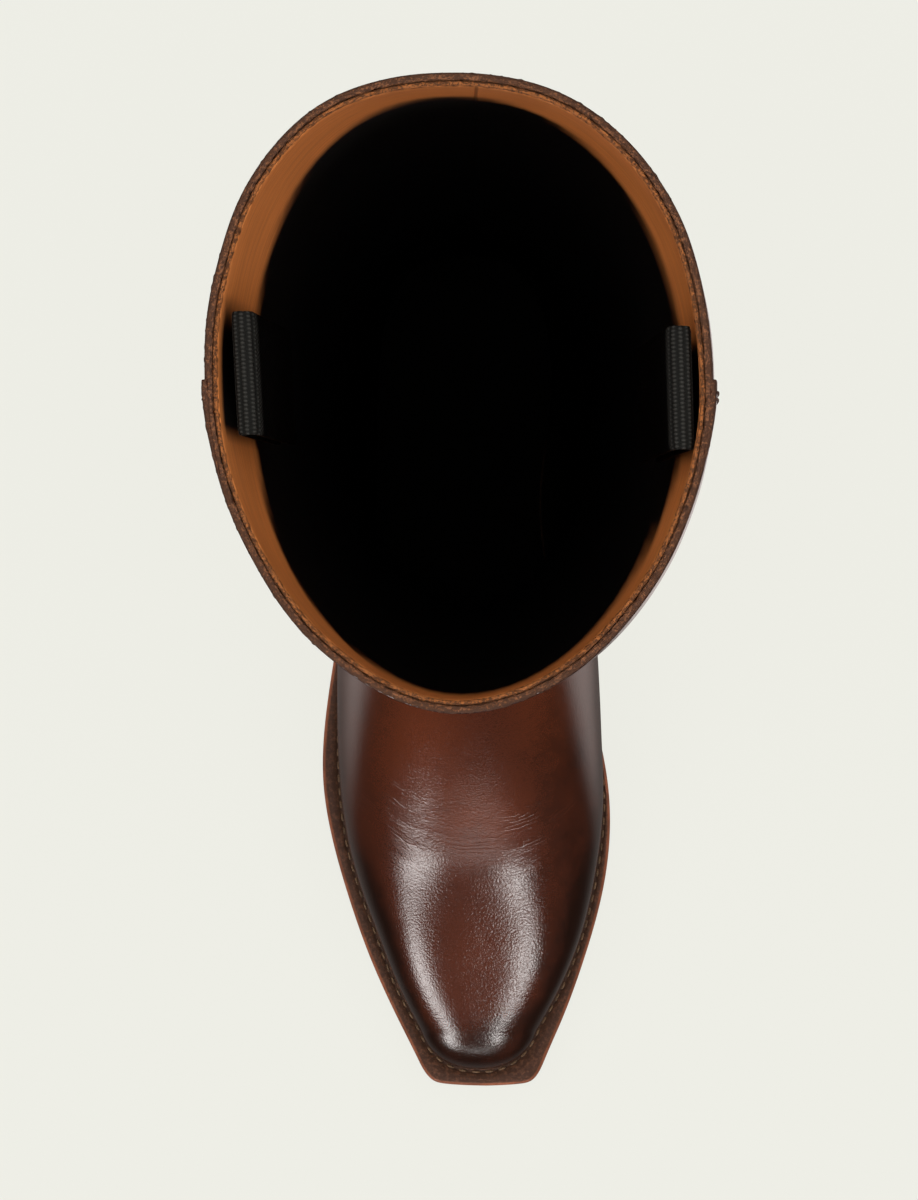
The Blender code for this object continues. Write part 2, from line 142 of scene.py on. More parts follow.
# Sections of the last: the ridge or front, the feather line or back, the widest places, the ends on
# the feather line, the height of the widest place and the fullness above and below it
COLUMNS = (
    "top_y", "top_z", "low_y", "low_z", "lateral", "medial", "ridge_x", "back_x",
    "foot_lateral", "foot_medial", "widest", "top_power", "low_power",
)
FOOT_SECTIONS = (
    (-119.7, 36.5, -119.7, None, -12.6, 25.8, 6.6, 6.6, -11.8, 25.0, 0.36, 2.3, 2.0),
    (-105.0, 41.0, -105.0, None, -19.8, 33.4, 7.2, 7.2, -18.8, 32.4, 0.35, 3.0, 2.0),
    (-88.0, 46.4, -88.0, None, -26.6, 40.2, 7.6, 7.6, -25.4, 39.0, 0.33, 2.85, 2.0),
    (-68.0, 53.2, -68.0, None, -33.8, 45.0, 7.0, 7.0, -32.4, 43.6, 0.31, 2.3, 2.0),
    (-45.0, 66.0, -45.0, None, -38.4, 47.5, 6.0, 6.0, -36.8, 45.8, 0.29, 2.1, 2.0),
    (-22.0, 83.6, -21.0, None, -39.8, 46.8, 5.0, 5.0, -37.6, 43.4, 0.28, 2.0, 2.0),
    (-3.0, 102.0, 6.0, None, -39.4, 45.2, 4.0, 4.0, -35.8, 37.4, 0.29, 2.0, 2.1),
    (7.5, 116.0, 38.0, None, -38.0, 42.8, 3.0, 3.0, -32.0, 30.4, 0.33, 2.0, 2.2),
    (13.0, 132.0, 70.0, None, -36.6, 41.2, 2.4, 2.4, -29.4, 30.2, 0.38, 2.0, 2.3),
    (15.8, 145.0, 100.0, None, -36.0, 40.4, 2.2, 2.2, -28.6, 32.4, 0.43, 2.0, 2.4),
    (16.5, 150.5, 122.0, None, -35.7, 40.0, 2.0, 2.0, -23.4, 27.4, 0.46, 2.0, 2.45),
    (16.9, 155.0, HEEL_Y - 2.2, None, -35.5, 39.8, 2.0, 2.0, 2.0, 2.0, 0.50, 2.0, 2.45),
)
SHAFT_SECTIONS = (
    (17.2, 165.0, 137.0, 74.0, -35.4, 39.8, 2.0, 2.0, 2.0, 2.0, 0.50, 2.0, 2.4),
    (17.0, 178.0, 134.6, 104.0, -35.6, 40.0, 2.2, 2.2, 2.2, 2.2, 0.50, 2.0, 2.3),
    (16.0, 193.0, 131.0, 139.0, -36.2, 40.6, 2.4, 2.4, 2.4, 2.4, 0.50, 2.0, 2.2),
    (13.6, 211.0, 129.6, 176.0, -37.4, 41.6, 2.2, 2.2, 2.2, 2.2, 0.50, 2.0, 2.1),
    (8.6, 240.0, 131.8, 222.0, -39.8, 43.8, 1.8, 1.6, 1.6, 1.6, 0.50, 2.0, 2.1),
    (2.4, 282.0, 135.4, 276.0, -43.8, 47.6, 1.2, 0.6, 0.6, 0.6, 0.50, 2.0, 2.1),
    (-1.6, 334.0, 135.6, 332.0, -48.2, 51.8, 0.4, -0.8, -0.8, -0.8, 0.50, 1.95, 2.15),
    (-1.0, 362.0, 133.6, 361.4, -50.6, 53.8, 0.2, -1.6, -1.6, -1.6, 0.50, 1.9, 2.2),
    (-0.3, BOOT_HEIGHT, 130.9, BOOT_HEIGHT, -COLLAR_HALF, COLLAR_HALF, 0.0, -2.0, -2.0, -2.0,
     0.495, 1.87, 2.3),
)

# Fineness of the upper: rows round the toe, rows between sections, points on each side of a row
NOSE_ROWS = 30
FOOT_ROWS = (14, 16, 28, 28, 20, 14, 14, 14, 14, 14, 14)
SHAFT_ROWS = (8, 8, 8, 8, 8, 8, 8, 10, 12)
SIDE_POINTS = 93
HEEL_ROW = NOSE_ROWS + sum(FOOT_ROWS)
CURVE_STEPS = 180
OUTLINE_POINTS = 361

# Faces across the sole, the insole and the heel, and points along each part of the heel's outline
SOLE_COLUMNS = 16
INSOLE_COLUMNS = 12
HEEL_COLUMNS = 10
HEEL_TURN_POINTS = 41
HEEL_SIDE_POINTS = 15
BREAST_POINTS = 17

# Soft troughs across the vamp where it bends: y at the ridge, x of the middle, depth, half length,
# width and how far the ends swing back, for each millimetre squared
CREASES = (
    (-33.0, -13.0, 0.010, 13.0, 1.5, 0.0085),
    (-40.5, 24.0, 0.026, 12.0, 1.4, 0.0090),
    (-46.0, -15.0, 0.018, 14.0, 1.2, 0.0090),
    (-49.0, 6.0, 0.014, 15.0, 1.5, 0.0080),
    (-51.5, 27.0, 0.040, 13.0, 1.1, 0.0095),
    (-53.5, -12.0, 0.030, 15.0, 1.1, 0.0095),
    (-56.5, 10.0, 0.018, 13.0, 1.3, 0.0085),
    (-58.0, 25.0, 0.042, 12.0, 1.1, 0.0100),
    (-60.0, -16.0, 0.032, 13.0, 1.1, 0.0100),
    (-63.5, 3.0, 0.016, 12.0, 1.4, 0.0090),
    (-65.0, 26.0, 0.030, 10.0, 1.2, 0.0100),
    (-66.5, -14.0, 0.026, 11.0, 1.2, 0.0100),
)

# Broad dip where the vamp bends, in the same measures, and the height below which nothing bends
BREAK_DIP = (-60.0, 6.5, 0.40, 34.0, 8.5, -0.0040)
BEND_LOW_Z = 20.0

# Ridges beside a crease and beside a fold: height as a share of the depth, distance in widths
CREASE_RIDGE = (0.45, 1.9)
FOLD_RIDGE = (0.5, 1.8)
NO_RIDGE = (0.0, 0.0)

# Soft folds round the ankle: height at the front, fall to the back, depth, width, y where it fades
ANKLE_FOLDS = (
    (112.0, 0.30, 0.55, 4.5, 58.0),
    (127.0, 0.36, 0.80, 5.0, 70.0),
    (143.0, 0.40, 0.70, 5.5, 76.0),
    (160.0, 0.34, 0.45, 6.5, 70.0),
)
FOLD_FALL_Y = 14.0
FOLD_FADE_Y = 20.0

# Unevenness of the leather: height and size of its waves, and where shaft and collar get more of it
WAVE = 0.10
SHAFT_WAVE = 0.35
WAVE_SIZE = 38.0
RIPPLE = 0.05
RIPPLE_SIZE = 11.0
COLLAR_WAVE = 0.28
COLLAR_WAVE_SIZE = 17.0
UPRIGHT = np.array([1.0, 1.0, 0.45])
SHAFT_RISE = (90.0, 60.0)
COLLAR_RISE = (350.0, 30.0)

# Side seam, from the foot up: z, y. Then where it ends, and the steps across its lap, forward of the seam
SIDE_SEAM = (
    (30.0, 64.0), (60.0, 68.0), (110.0, 73.0), (160.0, 75.0), (220.0, 72.0), (300.0, 69.5), (385.0, 68.0),
)
SEAM_LOW_Z = 90.0
LAP_STEPS = (0.0, 0.10, 0.35, 0.8, 1.6, 2.6, 4.0, 6.0, 8.5, 11.5, 15.0)
LAP_SKIVE = (0.30, 0.10, 0.01)
LAP_STITCH_COLUMNS = (5, 6)
LAP_SEAT = 0.04
LAP_ROOT = 0.7
LAP_SIDE_X = 20.0

# Foot of the tan facing, below which the lining is painted near-black as painted shade: its tilt to the
# medial side, its dips behind each loop, and the painted shadow of each loop on the lining there
COLLAR_MIDDLE_Y = 65.0
FACING_TILT = 6.0
FACING_DIP = {-1: -18.0, 1: 12.0}
LOOP_SHADOW_X = (30.0, 5.0)
LOOP_SHADOW_DEPTH = (2.0, 5.0)
LOOP_SHADOW_SIDE = (WEBBING_WIDTH / 2 - 1.0, 3.0)

# Rounded rim of a leather layer at the collar, and the raw strip with loose fibres that tops it
RIM_SHARES = (0.08, 0.26, 0.5, 0.74, 0.92)
RIM_ROUND = 0.4
STRIP_STEP = 0.45
STRIP_SHARES = np.linspace(0.0, 1.0, 11)
STRIP_ROUND = 0.75
STRIP_SUNK = 0.85
STRIP_ROOT = 2.2
STRIP_WAVE = 0.10
STRIP_WAVE_SIZE = 3.0
STRIP_TUCK = 0.1
LEATHER_SUNK = 0.9
LINING_SUNK = 1.0

# Stitches as shares of their pitch, and the threads that no property sizes
WELT_STITCH = 0.62
SOLE_STITCH = 0.72
SEAM_STITCH = 0.74
SOLE_THREAD = 0.72
SEAM_THREAD = 0.60

# One stitch: place along its half length, lift and thickness, both as shares of the thread's radius
STITCH = (
    (-1.0, -0.75, 0.45), (-0.85, -0.1, 0.8), (-0.45, 0.42, 1.0), (0.0, 0.55, 1.0),
    (0.45, 0.42, 1.0), (0.85, -0.1, 0.8), (1.0, -0.75, 0.45),
)

# Welt: its groove, the place of its stitches, and the rows of its section that are edge and groove, the
# groove rows painted darker as painted shade
GROOVE_DEPTH = 0.45
GROOVE_ROOM = (2.8, 1.0)
GROOVE_LEAST = 1.3
GROOVE_IN = (1.8, 1.2)
GROOVE_TOE_Y = (-128.0, 22.0)
SEWN_TO_Y = 58.0
EDGE_ROWS = 4
EDGE_STAIN = 0.05
SHADED_GROOVE_ROWS = slice(6, 8)

# Levels of sole and insole from the top down: distance in from the edge, share of the height, lift
OUTSOLE_PROFILE = (
    (5.0, 1.0, 0.0), (0.7, 1.0, 0.0), (0.2, 1.0, -0.15), (0.0, 1.0, -0.6), (-0.08, 0.5, 0.0),
    (0.0, 0.0, 1.2), (0.3, 0.0, 0.4), (1.0, 0.0, 0.0), (4.4, 0.0, 0.0), (4.7, 0.0, 0.45),
    (5.3, 0.0, 0.45), (5.6, 0.0, 0.0), (8.0, 0.0, 0.0),
)
CHANNEL_LEVELS = (9, 10)
CHANNEL_END_Y = BREAST_Y - 3.0
UNDER_BAND = (0.5, 0.4)
INSOLE_PROFILE = ((1.2, 1.0, 0.0), (0.3, 1.0, -0.3), (0.0, 1.0, -0.9), (0.0, 0.0, 0.0))

# Levels of heel and cap from the top down: share of the way down, distance in, lift
HEEL_PROFILE = (
    (0.0, 0.4, 0.0), (0.0, 0.0, -0.4), *((share, 0.0, 0.0) for share in np.linspace(0.08, 0.94, 12)),
    (1.0, 0.0, 0.25), (1.0, 0.25, 0.0),
)
CAP_PROFILE = (
    (0.0, 0.35, 0.0), (0.0, 0.05, -0.35), (0.5, 0.0, 0.0), (1.0, 0.0, 0.7), (1.0, 0.25, 0.2),
    (1.0, 0.8, 0.0),
)

# Darkening of the upper: burnish at the toe, darker on the medial side and up the shaft, and painted shade
# down the sides of the vamp and along its low walls: how dark, where it starts, over how far it comes in
DARK_TOE = (0.5, 100.0, 26.0)
DARK_MEDIAL = (0.34, 14.0, 18.0)
DARK_SHAFT = (0.30, 110.0, 60.0)
LOW_SHADE = 0.55
LOW_SHADE_BAND = 22.0
SIDE_SHADE = (0.45, 0.45)
SIDE_START = (0.50, 0.14)
SIDE_WIDTH = 0.22
VAMP_END = (-20.0, 40.0)
FOREPART = (38.0, 45.0)

# Fine lines where the vamp bends: y at the middle, half width, x of the middle, swing of the ends
FLEX_Y = -55.0
FLEX_WIDTH = 14.0
FLEX_X = 6.0
FLEX_SWING = 0.011

# Lighter warm patches, partly the dye's own tone and partly painted sheen and light on the instep and where
# the vamp bends: weight, x, y, half width, half length
WARM_SHEEN_PATCHES = (
    (0.95, -12.0, -18.0, 15.0, 26.0),
    (0.6, 26.0, -10.0, 12.0, 22.0),
    (0.95, 7.0, -48.0, 14.0, 13.0),
    (0.35, 5.0, -95.0, 12.0, 18.0),
)
WARM_HIGH_Z = 140.0

# Softboxes that only gloss shows, in metres: place, aim, size, strength
VAMP = (0.0, -0.09, 0.04)
SHAFT = (0.0, 0.06, 0.20)
SOFTBOXES = {
    "softbox_lateral": ((-0.540, -0.786, 0.506), VAMP, (0.68, 0.40), 16.0),
    "softbox_medial": ((0.330, -0.760, 0.714), VAMP, (0.45, 0.30), 20.0),
    "softbox_front": ((0.01, -1.055, 0.507), (0.0, -0.05, 0.06), (0.74, 0.24), 4.4),
    "softbox_back_lateral": ((-0.72, 0.90, 0.36), SHAFT, (0.34, 1.10), 3.0),
    "softbox_back_medial": ((0.88, 0.70, 0.40), SHAFT, (0.34, 1.10), 3.0),
}
SOFTBOX_WHITE = (1.0, 0.98, 0.96)
BLACK = (0.0, 0.0, 0.0)
OVERHEAD_PLACE = (0.0, -0.08, 1.60)
OVERHEAD_AIM = (0.0, 0.03, 0.2)
OVERHEAD_SIZE = (2.8, 2.6)
OVERHEAD_POWER = 78.0
STAGE_RADIUS = 6.0
STAGE_SEGMENTS = 96
SOFTBOX_SEGMENTS = 64
FLOOR_Z = -0.0002
BOUNCE_Z = -0.0006
BACKDROP_LOW_Z = -0.4


def length_property(name, description, default):
    return FloatProperty(name=name, description=description, default=default, unit="LENGTH")


def colour_property(name, description, default):
    return FloatVectorProperty(
        name=name, description=description, default=default, subtype="COLOR", min=0.0, max=1.0
    )


class BootSizes(bpy.types.PropertyGroup):
    """Sizes of the boot's leather, stitching and webbing."""

    leather: length_property("Leather", "Thickness of the upper leather", 0.0016)
    lining_gap: length_property("Lining gap", "Line between leather and lining at the cut edge", 0.00015)
    facing_back: length_property("Facing, back", "Depth of the tan facing at the back of the collar", 0.036)
    facing_front: length_property("Facing, front", "Depth of the facing at the front of the collar", 0.064)
    # The facing fade is the soft edge of the painted shade below the facing.
    facing_fade: length_property("Facing fade", "Depth over which the facing darkens into the lining", 0.006)
    lap_proud: length_property("Lap", "How far the front panel stands proud at the side seam", 0.0007)
    lap_reach: length_property("Lap reach", "Width over which the lap is skived flush", 0.020)
    welt_pitch: length_property("Welt stitch", "Distance between welt stitches", 0.0044)
    seam_pitch: length_property("Seam stitch", "Distance between side seam stitches", 0.0030)
    thread: length_property("Thread", "Thickness of the welt thread", 0.0008)
    rib_pitch: length_property("Rib", "Distance between ribs of the webbing", 0.0012)


class BootColours(bpy.types.PropertyGroup):
    """Colours of the boot's finishes."""

    # The dark leather colour is burnish at the toe and painted shade down the sides and along the low walls
    # of the vamp; it also darkens the edges of the grain's cells.
    leather_dark: colour_property("Burnish", "Burnished toe and sides", (0.0100, 0.0036, 0.0022))
    leather_brown: colour_property("Leather", "Polished brown leather", (0.0430, 0.0102, 0.0046))
    # The warm leather colour is partly painted sheen and light on the instep and where the vamp bends, and
    # lightens the fine bend lines.
    leather_warm_sheen: colour_property("Warm leather", "Lighter instep", (0.0900, 0.0200, 0.0070))
    facing_tan: colour_property("Facing", "Tan leather facing", (0.4700, 0.1520, 0.0355))
    # The black lining colour is painted shade, near-black deep inside the boot: on the lining below the
    # facing, behind the loops and on the sock.
    lining_painted_shade: colour_property("Lining", "Black lining", (0.0016, 0.0015, 0.0015))
    cut_brown: colour_property("Cut edge", "Raw cut edge of the leather", (0.0400, 0.0155, 0.0070))
    cut_fibre: colour_property("Fibres", "Light fibres in the cut edge", (0.1350, 0.0520, 0.0210))
    welt_brown: colour_property("Welt", "Dark matt welt", (0.0420, 0.0160, 0.0072))
    # The russet edge colour is the waxed edge's own colour, brightened as a painted highlight along the rim
    # of welt and sole.
    edge_russet_highlight: colour_property("Sole edge", "Waxed edge of welt and sole", (0.2500, 0.0780, 0.0370))
    sole_tan: colour_property("Sole", "Underside of the sole", (0.3000, 0.1500, 0.0700))
    stack_brown: colour_property("Heel", "Stacked leather heel", (0.0900, 0.0360, 0.0180))
    rubber_black: colour_property("Heel cap", "Rubber heel cap", (0.0120, 0.0110, 0.0105))
    webbing_black: colour_property("Webbing", "Black webbing", (0.0110, 0.0105, 0.0092))
    thread_tan: colour_property("Welt thread", "Waxed tan thread", (0.0950, 0.0500, 0.0220))
    thread_brown: colour_property("Seam thread", "Brown thread", (0.0500, 0.0190, 0.0100))


class BootStage(bpy.types.PropertyGroup):
    """Camera and floor."""

    camera_height: length_property("Camera height", "Height of the camera over the floor", 0.971)
    camera_y: length_property("Camera place", "Place of the camera along the boot", 0.0228)
    lens: FloatProperty(
        name="Lens", description="Focal length on a 36 mm sensor", default=85.89, unit="CAMERA"
    )
    floor_colour: colour_property("Floor", "Plain pale floor", (0.8630, 0.8630, 0.7990))


def boot_mm(name):
    """A size of the boot in millimetres."""
    return getattr(bpy.context.scene.boot_sizes, name) / MM


# Curves


def spline(knots, values, at):
    """Natural cubic spline through the values at the knots, read at one or more places."""
    knots = np.asarray(knots, float)
    values = np.asarray(values, float)
    at = np.atleast_1d(np.asarray(at, float))
    step = np.diff(knots)
    count = len(knots)
    matrix = np.eye(count)
    right = np.zeros(count)
    slope = np.diff(values) / step
    for i in range(1, count - 1):
        matrix[i, i - 1:i + 2] = step[i - 1], 2 * (step[i - 1] + step[i]), step[i]
        right[i] = 6 * (slope[i] - slope[i - 1])
    bend = np.linalg.solve(matrix, right)
    k = np.clip(np.searchsorted(knots, at) - 1, 0, count - 2)
    left = at - knots[k]
    rest = knots[k + 1] - at
    return (
        (bend[k] * rest**3 + bend[k + 1] * left**3) / (6 * step[k])
        + (values[k] / step[k] - bend[k] * step[k] / 6) * rest
        + (values[k + 1] / step[k] - bend[k + 1] * step[k] / 6) * left
    )


def along(points):
    """Distance of each point from the first, along the line."""
    return np.concatenate([[0], np.cumsum(np.linalg.norm(np.diff(points, axis=0), axis=1))])


def read_at(line, places, at):
    """The line's columns at these places along it."""
    return np.stack([np.interp(at, places, column) for column in np.asarray(line, float).T], axis=1)


def resampled(points, shares):
    """The points at these shares of the line's length."""
    length = along(np.asarray(points, float))
    return read_at(points, length, np.asarray(shares) * length[-1])


def smooth_line(points, count):
    """A spline through the points, as evenly spaced points."""
    points = np.asarray(points, float)
    length = along(points)
    fine = np.linspace(0, length[-1], 4 * count)
    curve = np.stack([spline(length, column, fine) for column in points.T], axis=1)
    return resampled(curve, np.linspace(0, 1, count))


def ramp(value, start, width):
    """Smoothly from 0 at the start to 1 at this width beyond it."""
    share = np.clip((np.asarray(value, float) - start) / width, 0.0, 1.0)
    return share * share * (3 - 2 * share)


def unit(vectors):
    return vectors / np.maximum(np.linalg.norm(vectors, axis=-1, keepdims=True), 1e-9)


def half_round(share):
    """Height of a half round, as a share of its radius, at a share of its width."""
    return math.sqrt(1 - (2 * share - 1) ** 2)


# Sole profile and outlines


def sole_bottom(y):
    spring = np.maximum(0.0, BALL_FRONT_Y - np.asarray(y, float)) / (BALL_FRONT_Y - TOE_Y)
    return TOE_SPRING * spring**2 + SEAT_HEIGHT * ramp(y, BALL_BACK_Y, HEEL_Y - BALL_BACK_Y)


def sole_top(y):
    return sole_bottom(y) + OUTSOLE_THICKNESS


def welt_top(y):
    return sole_top(y) + GAP + WELT_THICKNESS


def feather_height(y):
    return welt_top(y) + FEATHER_GAP


def insole_bottom(y):
    return feather_height(y) + INSOLE_LIFT


def insole_top(y):
    return insole_bottom(y) + INSOLE_THICKNESS


def cap_top(y):
    return np.full(np.shape(y), CAP_THICKNESS)


def sole_half(side):
    """One side of the sole's edge in plan, from the middle of the heel to the middle of the toe."""
    deep = HEEL_Y - HEEL_ROUND_Y
    points = [
        (HEEL_MIDDLE_X + side * HEEL_HALF_WIDTH * math.sin(a), HEEL_ROUND_Y + deep * math.cos(a))
        for a in np.radians([0, 20, 40, 60, 80])
    ]
    points += [(lateral if side < 0 else medial, y) for y, lateral, medial in SOLE_EDGE]
    points.append((SOLE_TOE_X, TOE_Y))
    return smooth_line(points, OUTLINE_POINTS)


def inset(line, side, distance, window=8):
    """The line in plan moved inwards, its direction evened out so that corners stay clean."""
    mirror = np.array([-1.0, 1.0])
    pad = window * 2
    before = (line[pad:0:-1] - line[0]) * mirror + line[0]
    after = (line[-2:-pad - 2:-1] - line[-1]) * mirror + line[-1]
    whole = np.concatenate([before, line, after])
    run = whole[2 * window:] - whole[:-2 * window]
    run = run[window:len(run) - window]
    inward = unit(np.stack([run[:, 1], -run[:, 0]], axis=1)) * side
    return line + distance * inward


# Sections of the upper


def with_keels(row):
    """The section with the low end of each side's whole curve, that runs on below the feather line
    where the leather is cut off, and with the widest place's share of that curve."""
    run = row["low_y"] - row["top_y"]
    fall = row["low_z"] - row["top_z"]
    length = math.hypot(run, fall)
    deep = row["widest"] * length
    power = row["low_power"]
    for _, name in SIDES:
        share = (row["foot_" + name] - row["back_x"]) / (row[name] - row["back_x"])
        drop = deep / (1 - share**power) ** (1 / power) - deep
        row["keel_y_" + name] = row["low_y"] + run * drop / length
        row["keel_z_" + name] = row["low_z"] + fall * drop / length
        row["widest_" + name] = (drop + deep) / (drop + length)
    return row


def last_table():
    """The table's columns as arrays, and the place of each row along the boot."""
    rows = []
    for row in FOOT_SECTIONS + SHAFT_SECTIONS:
        row = dict(zip(COLUMNS, row))
        if row["low_z"] is None:
            row["low_z"] = float(feather_height(row["low_y"]))
        rows.append(with_keels(row))
    table = {name: np.array([row[name] for row in rows], float) for name in rows[0]}
    top = along(np.stack([table["top_y"], table["top_z"]], axis=1))
    low = along(np.stack([table["low_y"], table["low_z"]], axis=1))
    return table, (top + low) / 2


def nose_sections(first, slope):
    """Sections round the toe, from its tip to the first row of the table."""
    reach = first["top_y"] - NOSE_TIP_Y
    last_turn = math.acos(1 - reach / NOSE_RADIUS)
    for turn in np.linspace(NOSE_START, last_turn, NOSE_ROWS + 1)[:-1]:
        depth = NOSE_RADIUS * (1 - math.cos(turn))
        share = (math.sin(turn) / math.sin(last_turn)) ** NOSE_FLATNESS
        y = NOSE_TIP_Y + depth
        feather = float(feather_height(y))
        lift = (1 - (1 - depth / reach) ** NOSE_POWER) ** (1 / NOSE_POWER)
        top = feather + (first["top_z"] + slope * (y - first["top_y"]) - feather) * lift
        section = dict(first, top_y=y, low_y=y, low_z=feather, top_z=top)
        for name in ("lateral", "medial", "foot_lateral", "foot_medial"):
            section[name] = first["ridge_x"] + (first[name] - first["ridge_x"]) * share
        yield with_keels(section)


def joined_at_back(section):
    """A shaft section whose two sides end at the same point."""
    for name in ("keel_y_", "keel_z_", "widest_"):
        mean = (section[name + "lateral"] + section[name + "medial"]) / 2
        section[name + "lateral"] = section[name + "medial"] = mean
    return section


def last_sections():
    """Sections of the whole last, from the toe to the collar."""
    table, places = last_table()
    first = {name: column[0] for name, column in table.items()}
    slope = np.diff(table["top_z"])[0] / np.diff(table["top_y"])[0]
    at = np.concatenate([
        places[i] + np.arange(1, n + 1) / n * (places[i + 1] - places[i])
        for i, n in enumerate(FOOT_ROWS + SHAFT_ROWS)
    ])
    read = {name: spline(places, column, at) for name, column in table.items()}
    rows = [{name: column[i] for name, column in read.items()} for i in range(len(at))]
    foot_rows = sum(FOOT_ROWS)
    rows[foot_rows:] = [joined_at_back(row) for row in rows[foot_rows:]]
    return list(nose_sections(first, slope)) + [first] + rows


def half_section(section, side):
    """One side of a section's whole curve, from the ridge to the keel or the back of the shaft."""
    name = dict(SIDES)[side]
    widest = section["widest_" + name]
    lean = section["ridge_x"] - section["back_x"]
    width = abs(section[name] - section["back_x"] - widest * lean)
    over = 2 / section["top_power"]
    under = 2 / section["low_power"]
    turns = np.linspace(0, math.pi / 2, CURVE_STEPS)
    far = width * np.concatenate([np.sin(turns) ** over, np.cos(turns[1:]).clip(0) ** under])
    rise = np.concatenate([
        widest + (1 - widest) * np.cos(turns).clip(0) ** over,
        widest - widest * np.sin(turns[1:]) ** under,
    ])
    x = section["back_x"] + rise * lean + side * far
    y, z = (
        section[f"keel_{axis}_{name}"] + rise * (section["top_" + axis] - section[f"keel_{axis}_{name}"])
        for axis in "yz"
    )
    return np.stack([x, y, z], axis=1)


def above_feather(line):
    """The part of a section's side that stands above the feather line."""
    clear = line[:, 2] - feather_height(line[:, 1])
    below = np.nonzero(clear < 0)[0]
    if not len(below) or below[0] == 0:
        return line
    last = below[0]
    share = clear[last - 1] / (clear[last - 1] - clear[last])
    return np.concatenate([line[:last], [line[last - 1] + share * (line[last] - line[last - 1])]])


def vertex_numbers(rows, columns, heel):
    """Numbers for a grid whose first row is one point and whose rows from the heel on are rings."""
    numbers = np.arange(rows * columns).reshape(rows, columns)
    numbers[0] = numbers[0, 0]
    numbers[heel:, -1] = numbers[heel:, 0]
    return numbers


def cell_corners(grid):
    """The four corners of each cell of a grid, in order round the cell."""
    return grid[:-1, :-1], grid[:-1, 1:], grid[1:, 1:], grid[1:, :-1]


def surface_normals(points, numbers):
    first, second, third, fourth = cell_corners(points)
    faces = np.cross(third - first, fourth - second).reshape(-1, 3)
    total = np.zeros((points.shape[0] * points.shape[1], 3))
    for corner in cell_corners(numbers):
        np.add.at(total, corner.ravel(), faces)
    return unit(total[numbers])


def noise_at(points, size):
    """Smooth noise from -1 to 1, with features of this size."""
    flat = (points / size).reshape(-1, 3)
    return np.array([noise.noise(Vector(p)) for p in flat.tolist()]).reshape(points.shape[:-1])


def trough(gap, ridge, apart):
    """A soft trough with a ridge of this height at this distance on each side."""
    return ridge * np.exp(-((np.abs(gap) - apart) ** 2)) - np.exp(-(gap**2))


def crease_relief(points):
    """Height of the vamp's soft creases and of the broad dip under them."""
    x, y = points[..., 0], points[..., 1]
    height = np.zeros(x.shape)
    for crease in (BREAK_DIP, *CREASES):
        ridge_y, middle_x, depth, half_length, width, bow = crease
        gap = (y - ridge_y - bow * (x - BREAK_DIP[1]) ** 2) / width
        reach = np.exp(-(((x - middle_x) / half_length) ** 4))
        height += depth * reach * trough(gap, *(NO_RIDGE if crease is BREAK_DIP else CREASE_RIDGE))
    return height * (points[..., 2] > BEND_LOW_Z)


def ankle_relief(points):
    """Height of the soft folds that run round the front and sides of the ankle."""
    y, z = points[..., 1], points[..., 2]
    height = np.zeros(y.shape)
    for front_z, fall, depth, width, end_y in ANKLE_FOLDS:
        gap = (z + fall * np.maximum(0.0, y - FOLD_FALL_Y) - front_z) / width
        fade = 1 - ramp(y, FOLD_FADE_Y, end_y - FOLD_FADE_Y)
        height += depth * fade * trough(gap, *FOLD_RIDGE)
    return height


@functools.lru_cache(maxsize=None)
def last_shell():
    """Points and outward normals of the upper's outer surface, with its folds: a row for each
    section, from the lateral feather edge over the ridge to the medial one."""
    shares = np.linspace(0, 1, SIDE_POINTS)
    rows = []
    for section in last_sections():
        halves = (above_feather(half_section(section, side)) for side in (-1, 1))
        lateral, medial = (resampled(half, shares) for half in halves)
        rows.append(np.concatenate([lateral[::-1], medial[1:]]))
    points = np.array(rows)
    numbers = vertex_numbers(*points.shape[:2], HEEL_ROW)
    normals = surface_normals(points, numbers)
    shaft = ramp(points[..., 2], *SHAFT_RISE)
    collar = ramp(points[..., 2], *COLLAR_RISE)
    height = crease_relief(points) + ankle_relief(points)
    waves = (WAVE + SHAFT_WAVE * shaft) * noise_at(points * UPRIGHT, WAVE_SIZE)
    height += waves + RIPPLE * noise_at(points, RIPPLE_SIZE)
    height += COLLAR_WAVE * collar * noise_at(points, COLLAR_WAVE_SIZE)
    height[:, 0] = height[:, -1] = (height[:, 0] + height[:, -1]) / 2
    points = points + height[..., None] * normals
    points[-1, :, 2] = BOOT_HEIGHT
    return points, surface_normals(points, numbers)


# Meshes


def collection_of_boot():
    made = bpy.data.collections.get("tall_boot")
    if made is None:
        made = bpy.data.collections.new("tall_boot")
        bpy.context.scene.collection.children.link(made)
    return made


